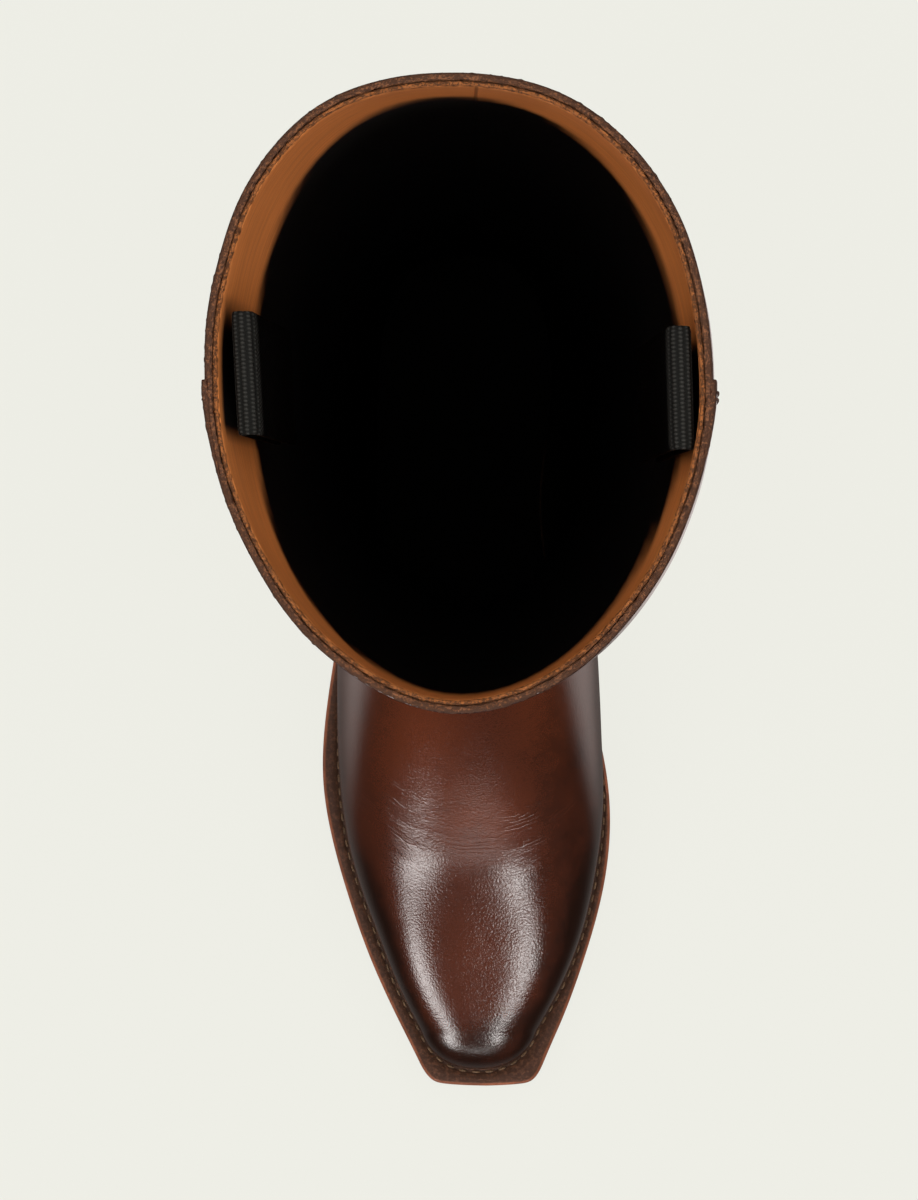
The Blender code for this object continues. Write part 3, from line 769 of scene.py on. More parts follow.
def add_piece(name, points, faces, material, masks=None, node=None, slot=None):
    """A closed mesh of points in millimetres that rides on the boot."""
    mesh = bpy.data.meshes.new(name)
    used, compact = np.unique(np.concatenate([np.asarray(f) for f in faces]), return_inverse=True)
    ends = np.cumsum([len(f) for f in faces])[:-1]
    verts = np.asarray(points).reshape(-1, 3)[used] * MM
    mesh.from_pydata(verts.tolist(), [], [f.tolist() for f in np.split(compact, ends)])
    for mask, values in (masks or {}).items():
        layer = mesh.attributes.new(mask, "FLOAT", "POINT")
        layer.data.foreach_set("value", np.asarray(values, np.float32).ravel()[used])
    bm = bmesh.new()
    bm.from_mesh(mesh)
    bmesh.ops.remove_doubles(bm, verts=bm.verts, dist=WELD * MM)
    bmesh.ops.dissolve_degenerate(bm, edges=bm.edges, dist=SLIVER * MM)
    bmesh.ops.recalc_face_normals(bm, faces=bm.faces)
    bm.to_mesh(mesh)
    bm.free()
    mesh.shade_smooth()
    mesh.materials.append(material)
    piece = bpy.data.objects.new(name, mesh)
    collection_of_boot().objects.link(piece)
    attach(piece, "root")
    if node:
        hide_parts(node)
    return piece


def sharpen(piece, degrees):
    piece.data.set_sharp_from_angle(angle=math.radians(degrees))


def grid_faces(numbers, flip=False):
    """Faces of a grid of vertex numbers, with repeated corners left out."""
    quads = np.stack(cell_corners(numbers), axis=-1)
    faces = [list(dict.fromkeys(q)) for q in quads.reshape(-1, 4).tolist()]
    faces = [f for f in faces if len(f) > 2]
    return [f[::-1] for f in faces] if flip else faces


def ring_numbers(count_rows, count_around, start=0):
    """Numbers of rows that each close on themselves."""
    numbers = start + np.arange(count_rows * count_around).reshape(count_rows, count_around)
    return np.concatenate([numbers, numbers[:, :1]], axis=1)


def closed_ring(rows, around):
    """Faces of rows that each close on themselves, the last row joined to the first."""
    numbers = ring_numbers(rows, around)
    return grid_faces(np.concatenate([numbers, numbers[:1]]))


def capped_tube(rows, around, start=0):
    """Faces of rows that each close on themselves, with both ends closed."""
    numbers = ring_numbers(rows, around, start)
    return grid_faces(numbers) + [numbers[0, :-1].tolist(), numbers[-1, :-1].tolist()[::-1]]


def bridge(fine, coarse):
    """Faces between two closed loops, the first with as many points as the second or twice as many."""
    ratio = len(fine) // len(coarse)
    faces = []
    for k, a in enumerate(coarse):
        b = coarse[(k + 1) % len(coarse)]
        run = [fine[(k * ratio + m) % len(fine)] for m in range(ratio + 1)]
        if ratio == 1:
            faces.append([run[0], run[1], b, a])
        else:
            faces += [[run[0], run[1], a], [run[1], b, a], [run[1], run[2], b]]
    return faces


def feather_loop(numbers, heel):
    return numbers[heel::-1, 0].tolist() + numbers[1:heel, -1].tolist()


def leather_layer(points, normals, heel, depths, stride, sunk):
    """A closed sheet between two depths under a surface, its collar edge sunk and rounded."""
    outer = points - depths[0] * normals
    inner = (points - depths[1] * normals)[::stride, ::stride]
    outer[-1, :, 2] -= sunk
    inner[-1, :, 2] -= sunk
    outer_numbers = vertex_numbers(*outer.shape[:2], heel)
    inner_numbers = vertex_numbers(*inner.shape[:2], heel // stride) + outer[..., 0].size
    loops = [outer_numbers[-1, :-1].tolist()]
    verts = [outer.reshape(-1, 3), inner.reshape(-1, 3)]
    start = outer[..., 0].size + inner[..., 0].size
    for share in RIM_SHARES:
        rim = points[-1, :-1] - (depths[0] + share * (depths[1] - depths[0])) * normals[-1, :-1]
        rim[:, 2] += RIM_ROUND * half_round(share) - sunk
        loops.append(list(range(start, start + len(rim))))
        verts.append(rim)
        start += len(rim)
    loops.append(inner_numbers[-1, :-1].tolist())
    faces = grid_faces(outer_numbers) + grid_faces(inner_numbers, flip=True)
    for first, second in zip(loops, loops[1:]):
        faces += bridge(first, second)
    faces += bridge(feather_loop(outer_numbers, heel), feather_loop(inner_numbers, heel // stride))
    return np.concatenate(verts), faces


def block(levels, columns):
    """Points and faces of a solid from its top level to its lowest. A level is a lateral and a medial
    edge, from the back to the front, that meet at both ends."""
    grids = [np.array([level[side] for level in levels]) for side in (0, 1)]
    shares = np.linspace(0, 1, columns + 1)
    for lateral, medial in (levels[0], levels[-1]):
        grids.append(np.array([lateral + share * (medial - lateral) for share in shares]))
    faces = []
    start = 0
    for grid in grids:
        count = grid[..., 0].size
        faces += grid_faces(start + np.arange(count).reshape(grid.shape[:2]))
        start += count
    return np.concatenate([grid.reshape(-1, 3) for grid in grids]), faces


def at_share(plan, low, high, share, lift):
    """Points of a plan line at a share of the way between two heights that its y gives, and a lift."""
    bottom = low(plan[:, 1])
    return np.column_stack([plan, bottom + share * (high(plan[:, 1]) - bottom) + lift])


def edge_levels(profile, plan_of, low, high):
    """Levels of a sole from its profile and from its edge in plan by side and distance in."""
    return [
        [at_share(plan_of(side, distance), low, high, share, lift) for side in (-1, 1)]
        for distance, share, lift in profile
    ]


def add_stitches(name, rows, material):
    """One piece of stitches, short bent threads whose ends dip into the surface, from rows of them: path,
    normals, pitch, share of the pitch, radius."""
    reach, lift, thick = np.array(STITCH).T
    turns = np.arange(6) * math.pi / 3
    size = len(reach) * len(turns)
    verts = []
    faces = []
    for path, normals, pitch, share, radius in rows:
        places = along(path)
        for middle in np.arange(pitch / 2, places[-1], pitch):
            at = middle + pitch * share / 2 * reach
            line = read_at(path, places, at)
            up = unit(read_at(normals, places, at))
            across = unit(np.cross(unit(np.gradient(line, axis=0)), up))
            spine = line + radius * lift[:, None] * up
            thickness = radius * thick[:, None]
            rings = [spine + thickness * (math.cos(a) * across + math.sin(a) * up) for a in turns]
            faces += capped_tube(len(at), len(turns), len(verts) * size)
            verts.append(np.stack(rings, axis=1).reshape(-1, 3))
    return add_piece(name, np.concatenate(verts), faces, material)


# Finishes


def arithmetic(operation, swapped=False):
    """A method that adds a Math node of this operation."""

    def method(self, other=0.0):
        return self.finish.maths(operation, *((other, self) if swapped else (self, other)))

    return method


class Value:
    """A value that changes over a surface. Arithmetic on it adds Math nodes."""

    def __init__(self, finish, socket):
        self.finish = finish
        self.socket = socket

    __add__ = arithmetic("ADD")
    __radd__ = arithmetic("ADD", swapped=True)
    __sub__ = arithmetic("SUBTRACT")
    __rsub__ = arithmetic("SUBTRACT", swapped=True)
    __mul__ = arithmetic("MULTIPLY")
    __rmul__ = arithmetic("MULTIPLY", swapped=True)
    __truediv__ = arithmetic("DIVIDE")
    __pow__ = arithmetic("POWER")
    __abs__ = arithmetic("ABSOLUTE")

    def between(self, low, high):
        """Smoothly from 0 at low to 1 at high."""
        return self.finish.node(
            "ShaderNodeMapRange", {"interpolation_type": "SMOOTHSTEP"}, {0: self, 1: low, 2: high}
        )


class Finish:
    """A material and the nodes that make it."""

    def __init__(self, name, specular, constants=None):
        self.material = bpy.data.materials.new(name)
        self.material.use_nodes = True
        self.tree = self.material.node_tree
        self.shader = self.tree.nodes["Principled BSDF"]
        self.colours = bpy.context.scene.boot_colours
        for socket, value in {"Specular IOR Level": specular, **(constants or {})}.items():
            self.shader.inputs[socket].default_value = value

    def node(self, kind, settings, sockets, out=0):
        made = self.tree.nodes.new(kind)
        for name, value in settings.items():
            setattr(made, name, value)
        for key, value in sockets.items():
            self.feed(made.inputs[key], value)
        return Value(self, made.outputs[out])

    def feed(self, socket, value):
        if isinstance(value, Value):
            self.tree.links.new(value.socket, socket)
        elif socket.type == "RGBA":
            socket.default_value = (*value[:3], 1.0)
        else:
            socket.default_value = value

    def maths(self, operation, first, second=0.0):
        return self.node("ShaderNodeMath", {"operation": operation}, {0: first, 1: second})

    def mix(self, share, first, second):
        """From the first colour to the second."""
        return self.node("ShaderNodeMix", {"data_type": "RGBA"}, {0: share, 6: first, 7: second}, 2)

    def tones(self, share, colour, low, high):
        """From one tone of a colour to another."""
        return self.mix(share, toned(colour, low), toned(colour, high))

    @functools.cached_property
    def place(self):
        """Place on the piece, in metres."""
        return self.node("ShaderNodeTexCoord", {}, {}, "Object")

    def axes(self, names):
        return [self.node("ShaderNodeSeparateXYZ", {}, {0: self.place}, axis) for axis in names]

    def scaled(self, scale):
        """The place, scaled along each axis."""
        return self.node("ShaderNodeVectorMath", {"operation": "MULTIPLY"}, {0: self.place, 1: scale})

    def joined(self, x, y):
        return self.node("ShaderNodeCombineXYZ", {}, {0: x, 1: y})

    def mask(self, name):
        return self.node("ShaderNodeAttribute", {"attribute_name": name}, {}, "Fac")

    def noise(self, vector, scale, detail=2.0, roughness=0.5):
        sockets = {"Vector": vector, "Scale": scale, "Detail": detail, "Roughness": roughness}
        return self.node("ShaderNodeTexNoise", {}, sockets, "Fac")

    def cells(self, vector, scale):
        """Distance from the edges of small cells."""
        settings = {"feature": "DISTANCE_TO_EDGE"}
        return self.node("ShaderNodeTexVoronoi", settings, {"Vector": vector, "Scale": scale}, "Distance")

    def show(self, colour, roughness, height, distance):
        """The finished material, with a bump of this height in units of the distance."""
        bump = self.node("ShaderNodeBump", {}, {"Height": height, "Distance": distance, "Strength": 1.0})
        return self.shown({"Base Color": colour, "Roughness": roughness, "Normal": bump})

    def shown(self, sockets):
        for name, value in sockets.items():
            self.feed(self.shader.inputs[name], value)
        return self.material


def toned(colour, factor):
    return tuple(min(1.0, c * factor) for c in colour)


@functools.lru_cache(maxsize=None)
def burnished_leather():
    """Polished brown leather: pebbled grain, cloudy dye, dark burnish with painted shade down the sides and
    along the low walls, warm patches that are partly painted sheen, and fine lines where it bends.
    """
    f = Finish("burnished_leather", 0.5)
    x, y = f.axes("XY")
    flex = f.mask("flex")
    cloud = f.noise(f.place, 48.0, 3.0, 0.6)
    mottle = f.noise(f.place, 420.0, 3.0, 0.6)
    off = x - 0.006
    swung = y - 12.0 * off * off
    warp = f.noise(f.joined(x * 90.0, swung * 190.0), 1.0)
    wave = abs(f.maths("SINE", (swung + warp * 0.0045) * (math.pi / 0.0013)))
    patch = f.noise(f.joined(x * 70.0, swung * 240.0), 1.0).between(0.42, 0.62)
    line = (1.0 - wave.between(0.0, 0.42)) * patch * flex
    cells = f.cells(f.place, 1500.0).between(0.0, 0.22)
    pebble = f.noise(f.place, 1600.0, 1.0)
    # Painted shade: this mask darkens the sides and low walls of the vamp as well as the burnished toe.
    dark = (f.mask("burnish_and_shade") + 0.10 + (cloud - 0.5) * 1.1 + (mottle - 0.5) * 0.35).between(0.06, 0.94)
    # Painted sheen: the warm patches lighten the instep and the bend of the vamp.
    colour = f.mix(f.mask("warm_and_sheen"), f.colours.leather_brown, f.colours.leather_warm_sheen)
    colour = f.mix(dark, colour, f.colours.leather_dark)
    colour = f.mix((1.0 - cells) * 0.30, colour, f.colours.leather_dark)
    colour = f.mix(line * 0.10, colour, toned(f.colours.leather_warm_sheen, 1.3))
    height = pebble + cells * 0.12 - line * 0.55
    return f.show(colour, 0.135 + mottle * 0.06 + flex * 0.03, height, 0.000075)


def lining_leather():
    """Tan facing with fine streaks round the collar, painted near-black as painted shade from the foot of
    the facing down and behind the loops.
    """
    f = Finish("lining_leather", 0.35)
    x, y = f.axes("XY")
    streak = f.noise(f.scaled((55.0, 55.0, 1300.0)), 1.0, 3.0, 0.6)
    blotch = f.noise(f.place, 60.0)
    pores = f.noise(f.place, 2400.0)
    seam = (1.0 - abs(x - 0.0036).between(0.00015, 0.0005)) * y.between(0.09, 0.10)
    tan = f.tones(streak.between(0.35, 0.65), f.colours.facing_tan, 0.80, 1.12)
    tan = f.mix((blotch - 0.35) * 0.5, tan, toned(f.colours.facing_tan, 0.65))
    tan = f.mix(seam * 0.7, tan, toned(f.colours.facing_tan, 0.30))
    # Painted shade: below the facing the lining is near-black.
    colour = f.mix(f.mask("facing"), f.colours.lining_painted_shade, tan)
    return f.show(colour, 0.55 + streak * 0.12, streak * 0.6 + pores * 0.4 - seam * 2.0, 0.00010)


def raw_edge(name, ground, fibre, share):
    """Raw cut leather: a dark ground with lighter loose fibres."""
    f = Finish(name, 0.25)
    speckle = f.noise(f.place, 1900.0, 3.0, 0.75)
    tuft = f.noise(f.place, 520.0, 3.0, 0.7)
    loose = (speckle * 0.65 + tuft * 0.35 + f.mask("inner") * 0.10).between(0.55 - share, 0.66 - share)
    return f.show(f.mix(loose, ground, fibre), 0.78 + speckle * 0.15, speckle + tuft, 0.00035)


def welt_leather():
    """Matt dark welt, scuffed, its stitch groove painted darker as painted shade, with a waxed russet outer
    edge brightened as a painted highlight.
    """
    f = Finish("welt_leather", 0.22)
    edge = f.mask("edge")
    grit = f.noise(f.place, 900.0, 4.0, 0.65)
    cloud = f.noise(f.place, 140.0)
    top = f.tones(grit.between(0.42, 0.72), f.colours.welt_brown, 0.6, 1.7)
    # Painted shade: the stitch groove is painted darker.
    top = f.mix(f.mask("groove") * 0.5, top, toned(f.colours.welt_brown, 0.3))
    # Painted highlight: the russet rim is brighter than the waxed edge alone.
    rim = f.tones(cloud.between(0.35, 0.7), f.colours.edge_russet_highlight, 0.65, 1.0)
    return f.show(f.mix(edge, top, rim), 0.62 - edge * 0.36 + grit * 0.12, grit, 0.00022)


def sole_leather():
    """Sole leather: waxed russet edge, brightened as a painted highlight, and a paler rubbed underside with
    scuffs along the boot.
    """
    f = Finish("sole_leather", 0.45)
    under = f.mask("under")
    layers = f.noise(f.scaled((90.0, 90.0, 2200.0)), 1.0)
    fibre = f.noise(f.place, 700.0, 3.0, 0.6)
    cloud = f.noise(f.place, 34.0, 3.0, 0.6)
    scuff = f.noise(f.scaled((620.0, 70.0, 70.0)), 1.0, 2.0, 0.6).between(0.56, 0.72)
    rim = f.tones(layers.between(0.3, 0.7), f.colours.edge_russet_highlight, 0.62, 1.0)
    tread = f.tones(cloud.between(0.3, 0.75), f.colours.sole_tan, 0.62, 1.0)
    tread = f.mix(scuff * 0.45, tread, toned(f.colours.sole_tan, 0.40))
    roughness = 0.36 + under * 0.22 + fibre * 0.12
    return f.show(f.mix(under, rim, tread), roughness, layers * 0.4 + fibre * 0.6, 0.00012)


def stacked_leather():
    """Heel of leather lifts: a dark line between lifts, each lift a little different."""
    f = Finish("stacked_leather", 0.5, {"Coat Weight": 0.12, "Coat Roughness": 0.2})
    [z] = f.axes("Z")
    lift = z / 0.0056
    step = f.maths("FRACT", lift)
    line = 1.0 - f.maths("MINIMUM", step, 1.0 - step).between(0.03, 0.075)
    tint = f.maths("FRACT", f.maths("SINE", f.maths("FLOOR", lift) * 12.9) * 43.7)
    layers = f.noise(f.scaled((60.0, 60.0, 1500.0)), 1.0, 3.0)
    cloud = f.noise(f.place, 70.0)
    colour = f.tones(tint * 0.6 + layers * 0.4, f.colours.stack_brown, 0.72, 1.25)
    colour = f.mix(cloud.between(0.45, 0.8) * 0.5, colour, toned(f.colours.stack_brown, 0.5))
    colour = f.mix(line * 0.8, colour, toned(f.colours.stack_brown, 0.18))
    return f.show(colour, 0.34 + layers * 0.14 + line * 0.2, layers * 0.25 - line, 0.00012)


def heel_rubber():
    """Matt black rubber with a fine moulded grain."""
    f = Finish("heel_rubber", 0.4)
    grit = f.noise(f.place, 1600.0, 3.0, 0.6)
    colour = f.tones(f.noise(f.place, 90.0), f.colours.rubber_black, 0.7, 2.0)
    return f.show(colour, 0.62 + grit * 0.16, grit, 0.00012)


def sock_leather():
    """Sock over the insole, near-black as painted shade deep in the boot, faintly rubbed."""
    f = Finish("sock_leather", 0.25)
    grain = f.cells(f.place, 900.0).between(0.0, 0.2)
    # Painted shade: the sock is near-black, as the inside of the boot is dark.
    colour = f.tones(f.noise(f.place, 40.0), f.colours.lining_painted_shade, 0.3, 0.8)
    return f.show(colour, 0.7 + grain * 0.1, grain, 0.0001)


def ribbed_webbing():
    """Black woven webbing: ribs across its width, each a row of small floats of thread, its legs away from
    the fold painted near-black as painted shade.
    """
    f = Finish("ribbed_webbing", 0.06)
    run = f.mask("run") / boot_mm("rib_pitch")
    turn = f.maths("FLOOR", run) * math.pi
    float_up = f.maths("SINE", f.mask("across") * (2 * math.pi / 0.85) + turn) * 0.5 + 0.5
    rib = abs(f.maths("SINE", run * math.pi))
    fuzz = f.noise(f.place, 2600.0)
    weave = (rib * (0.45 + float_up * 0.55)).between(0.25, 1.0)
    # Painted shade: away from the fold the webbing is toned nearly black.
    colour = f.tones((0.25 + weave * 0.75) * f.mask("unshaded_fold"), f.colours.webbing_black, 0.02, 1.7)
    return f.show(colour, 0.85 - weave * 0.25 + fuzz * 0.1, weave + fuzz * 0.3, 0.00022)


def waxed_thread(name, colour):
    """Twisted waxed thread."""
    f = Finish(name, 0.4)
    twist = f.noise(f.place, 2600.0)
    grime = f.noise(f.place, 160.0)
    shade = f.tones(twist.between(0.35, 0.65), colour, 0.55, 1.25)
    shade = f.mix(grime.between(0.5, 0.75) * 0.6, shade, toned(colour, 0.35))
    return f.show(shade, 0.62 + twist * 0.15, twist, 0.0002)


def leather_masks(points, share):
    """Where the upper is darker (burnish at the toe, and painted shade down the sides and along the low
    walls), lighter and warm (dye tone and painted sheen) or lined where it bends, from places on it and
    shares down its sides.
    """
    x, y, z = points.T
    vamp = 1 - ramp(y, *VAMP_END)
    forward = ramp(-y, *FOREPART)
    # Painted shade down the sides of the vamp and along its low walls, beside the burnish at the toe.
    side = ramp(share, SIDE_START[0] - SIDE_START[1] * forward, SIDE_WIDTH)
    low = ramp(feather_height(y) + LOW_SHADE_BAND, z, LOW_SHADE_BAND)
    toe, medial, shaft = (
        darkness * ramp(place, start, width)
        for place, (darkness, start, width) in ((-y, DARK_TOE), (x, DARK_MEDIAL), (z, DARK_SHAFT))
    )
    clear_of_burnish_and_shade = 1 - (SIDE_SHADE[0] + SIDE_SHADE[1] * forward) * side * vamp
    clear_of_burnish_and_shade = clear_of_burnish_and_shade * (1 - toe) * (1 - LOW_SHADE * low)
    warm_and_sheen = sum(
        weight * np.exp(-(((x - middle_x) / half_width) ** 2) - ((y - middle_y) / half_length) ** 2)
        for weight, middle_x, middle_y, half_width, half_length in WARM_SHEEN_PATCHES
    )
    flex = np.exp(-(((y - FLEX_Y - FLEX_SWING * (x - FLEX_X) ** 2) / FLEX_WIDTH) ** 2))
    return {
        "burnish_and_shade": 1 - clear_of_burnish_and_shade * (1 - medial * vamp) * (1 - shaft),
        "warm_and_sheen": warm_and_sheen * (z < WARM_HIGH_Z),
        "flex": flex * (z > BEND_LOW_Z),
    }


# Upper and lining


def side_shares(points):
    """Share of the way from the ridge to the end of each row, for every point of a shell."""
    half = (points.shape[1] - 1) // 2
    return np.broadcast_to(np.abs(np.arange(points.shape[1]) - half) / half, points.shape[:2])


def lap_height(distance):
    """How far the front panel stands proud at this distance forward of the side seam."""
    proud = boot_mm("lap_proud") * (1 - ramp(distance, 0.0, boot_mm("lap_reach")))
    return np.where(distance < 0.0, 0.0, proud)


def collar_strip(name, depths, material, rough, seed, lapped=False):
    """The raw top of one leather layer, swept round the collar with loose fibres standing up."""
    points, normals = last_shell()
    places = along(points[-1])
    count = int(places[-1] / STRIP_STEP)
    at = np.arange(count) / count * places[-1]
    path = read_at(points[-1], places, at)
    inward = -unit(read_at(normals[-1], places, at) * np.array([1.0, 1.0, 0.0]))
    draw = np.random.default_rng(seed)
    outer = np.full(count, depths[0])
    if lapped:
        outer -= np.where(np.abs(path[:, 0]) > LAP_SIDE_X, lap_height(SIDE_SEAM[-1][1] - path[:, 1]), 0.0)
    rows = []
    for share in STRIP_SHARES:
        row = path + (outer + share * (depths[1] - outer))[:, None] * inward
        row[:, 2] += STRIP_ROUND * half_round(share) - STRIP_SUNK
        fuzz = draw.normal(0.0, rough, (count, 3))
        wave = STRIP_WAVE * noise_at(row, STRIP_WAVE_SIZE)
        row += (fuzz + np.roll(fuzz, 1, axis=0)) / 2 + wave[:, None] * np.array([0, 0, 1.0])
        rows.append(row)
    for depth in (np.full(count, depths[1] - STRIP_TUCK), outer + STRIP_TUCK):
        rows.append(path + depth[:, None] * inward - np.array([0.0, 0.0, STRIP_ROOT]))
    inner = np.repeat(np.append(STRIP_SHARES, (1.0, 0.0)), count)
    return add_piece(name, np.concatenate(rows), closed_ring(len(rows), count), material, {"inner": inner})


class BOOT_OT_upper(bpy.types.Operator):
    """Make the upper's outer leather and its raw edge at the collar"""

    bl_idname = "boot.make_upper"
    bl_label = "Upper Leather"

    def execute(self, context):
        colours = context.scene.boot_colours
        points, normals = last_shell()
        leather = boot_mm("leather")
        verts, faces = leather_layer(points, normals, HEEL_ROW, (0.0, leather), 2, LEATHER_SUNK)
        shares = np.zeros(len(verts))
        shares[:points[..., 0].size] = side_shares(points).ravel()
        add_piece(
            "upper_leather", verts, faces, burnished_leather(), leather_masks(verts, shares),
            node="upper", slot="upper_leather",
        )
        edge = raw_edge("raw_leather_edge", colours.cut_brown, colours.cut_fibre, 0.0)
        collar_strip("collar_edge_leather", (0.04, leather + 0.08), edge, rough=0.10, seed=11, lapped=True)
        return {"FINISHED"}


def facing_and_shade_mask(points):
    """Where the lining is faced with tan leather: down to a foot that dips, but not behind the loops, where
    a near-black patch is painted as each loop's shadow. Below the foot the lining is painted near-black as
    painted shade.
    """
    x, y, z = points.T
    back, front, fade = (boot_mm("facing_" + name) for name in ("back", "front", "fade"))
    turn = np.arctan2(x, y - COLLAR_MIDDLE_Y)
    foot = (back + front) / 2 - (front - back) / 2 * np.cos(turn) - FACING_TILT * np.sin(turn)
    foot += np.where(turn > 0, FACING_DIP[1], FACING_DIP[-1]) * np.sin(2 * turn).clip(0)
    depth = BOOT_HEIGHT - z
    facing = 1 - ramp(depth, foot - fade, fade)
    # Painted shadow of each loop: behind it the facing gives way to near-black lining.
    for side, middle_y in LOOP_MIDDLE_Y.items():
        beside = 1 - ramp(np.abs(y - middle_y), *LOOP_SHADOW_SIDE)
        facing *= 1 - beside * ramp(side * x, *LOOP_SHADOW_X) * ramp(depth, *LOOP_SHADOW_DEPTH)
    return facing


class BOOT_OT_lining(bpy.types.Operator):
    """Make the lining, tan at the collar and painted near-black below as painted shade, and its raw edge"""

    bl_idname = "boot.make_lining"
    bl_label = "Lining"

    def execute(self, context):
        tan = context.scene.boot_colours.facing_tan
        points, normals = (grid[::2, ::2].copy() for grid in last_shell())
        outer = boot_mm("leather") + boot_mm("lining_gap")
        verts, faces = leather_layer(points, normals, HEEL_ROW // 2, (outer, WALL), 1, LINING_SUNK)
        add_piece("upper_lining", verts, faces, lining_leather(), {"facing": facing_and_shade_mask(verts)})
        edge = raw_edge("raw_lining_edge", toned(tan, 0.10), toned(tan, 0.42), 0.04)
        collar_strip("collar_edge_lining", (outer - 0.02, WALL - 0.03), edge, rough=0.06, seed=23)
        return {"FINISHED"}


# Side seams


def seam_lines(side):
    """Rows of the shell that cross the side seam, each read at distances forward of the seam."""
    points, normals = last_shell()
    half = slice(SIDE_POINTS - 1, None, side)
    seam_z, seam_y = np.array(SIDE_SEAM).T
    apart = np.array([*LAP_STEPS, boot_mm("lap_reach")])
    lines, ups = [], []
    for row, normal in zip(points[:, half], normals[:, half]):
        past = row[:, 1] - spline(seam_z, seam_y, row[:, 2])
        cross = np.nonzero((past[:-1] < 0) & (past[1:] >= 0))[0]
        if not len(cross) or row[0, 2] < SEAM_LOW_Z:
            continue
        k = cross[0]
        places = along(row)
        at = places[k] + (places[k + 1] - places[k]) * past[k] / (past[k] - past[k + 1]) - apart
        lines.append(read_at(row, places, at))
        ups.append(unit(read_at(normal, places, at)))
    return apart, np.array(lines), np.array(ups)


class BOOT_OT_side_seams(bpy.types.Operator):
    """Lap the front panel over the back one at each side seam and sew it down"""

    bl_idname = "boot.make_side_seams"
    bl_label = "Side Seams"

    def execute(self, context):
        thread = waxed_thread("seam_thread", context.scene.boot_colours.thread_brown)
        pitch = boot_mm("seam_pitch")
        for side, name in SIDES:
            apart, points, normals = seam_lines(side)
            height = lap_height(apart) - LAP_SEAT
            height[:len(LAP_SKIVE)] -= boot_mm("lap_proud") * np.array(LAP_SKIVE)
            top = points + height[None, :, None] * normals
            top[-1, :, 2] -= LEATHER_SUNK
            rings = np.concatenate([top, points[:, ::-1] - LAP_ROOT * normals[:, ::-1]], axis=1)
            verts = rings.reshape(-1, 3)
            lap = add_piece(
                "side_lap_" + name, verts, capped_tube(*rings.shape[:2]), burnished_leather(),
                leather_masks(verts, np.zeros(len(verts))), slot="upper_leather",
            )
            sharpen(lap, degrees=50.0)
            columns = [(top[:, k], normals[:, k]) for k in LAP_STITCH_COLUMNS]
            rows = [(*column, pitch, SEAM_STITCH, SEAM_THREAD / 2) for column in columns]
            add_stitches("side_stitches_" + name, rows, thread)
        return {"FINISHED"}


# Welt, outsole and insole


def feather_half(side, distance):
    """Feather line on one side in plan, from the heel to the toe, moved inwards."""
    points, _ = last_shell()
    line = points[HEEL_ROW::-1, 0 if side < 0 else -1, :2]
    return inset(resampled(line, np.linspace(0, 1, OUTLINE_POINTS)), side, distance)


def nearest_on(line, points):
    """For each point, the nearest place on a line."""
    start, run = line[:-1], np.diff(line, axis=0)
    share = ((points[:, None] - start) * run).sum(-1) / (run * run).sum(-1)
    foot = start + np.clip(share, 0.0, 1.0)[..., None] * run
    best = np.linalg.norm(points[:, None] - foot, axis=-1).argmin(axis=1)
    return foot[np.arange(len(points)), best]


def whole_loop(halves):
    """A closed line from its lateral and medial halves, that both run from the heel to the toe."""
    return np.concatenate([halves[0], halves[1][-2:0:-1]])


def welt_rings():
    """Sections round the welt, the line of its stitches and how much room each section has for them."""
    outer = whole_loop([sole_half(side) for side in (-1, 1)])
    feather = whole_loop([feather_half(side, 0.0) for side in (-1, 1)])
    foot = nearest_on(np.concatenate([feather, feather[:1]]), outer)
    inward = unit(foot - outer)
    shown = np.linalg.norm(foot - outer, axis=1)
    width = shown + WELT_UNDER_UPPER
    room = ramp(shown, *GROOVE_ROOM)
    from_upper = GROOVE_IN[0] + GROOVE_IN[1] * ramp(outer[:, 1], *GROOVE_TOE_Y)
    groove = np.maximum(shown - from_upper, GROOVE_LEAST)
    deep = GROOVE_DEPTH * room
    none = 0 * width
    # Distance in from the edge, share of the thickness, lift
    profile = (
        (none + 0.2, 0.0, 0.05), (none, 0.0, 0.5), (none, 1.0, -1.35), (none + 0.4, 1.0, -0.5),
        (none + 1.25, 1.0, 0.0), (groove - 0.75, 1.0, 0.0), (groove - 0.35, 1.0, -deep),
        (groove + 0.35, 1.0, -deep), (groove + 0.75, 1.0, 0.0), (shown - 0.4, 1.0, 0.1),
        (shown + 0.2, 1.0, 0.75), (shown + 2.5, 1.0, 0.9), (width, 1.0, 0.6), (width, 0.0, 0.05),
    )
    rings = []
    farthest = none
    for place, share, lift in profile:
        farthest = np.maximum(farthest, place) if share else place
        plan = outer + np.minimum(farthest, width)[:, None] * inward
        rings.append(at_share(plan, sole_top, welt_top, share, lift))
    seam = at_share(outer + groove[:, None] * inward, sole_top, welt_top, 1.0, -deep)
    return np.stack(rings, axis=1), seam, room


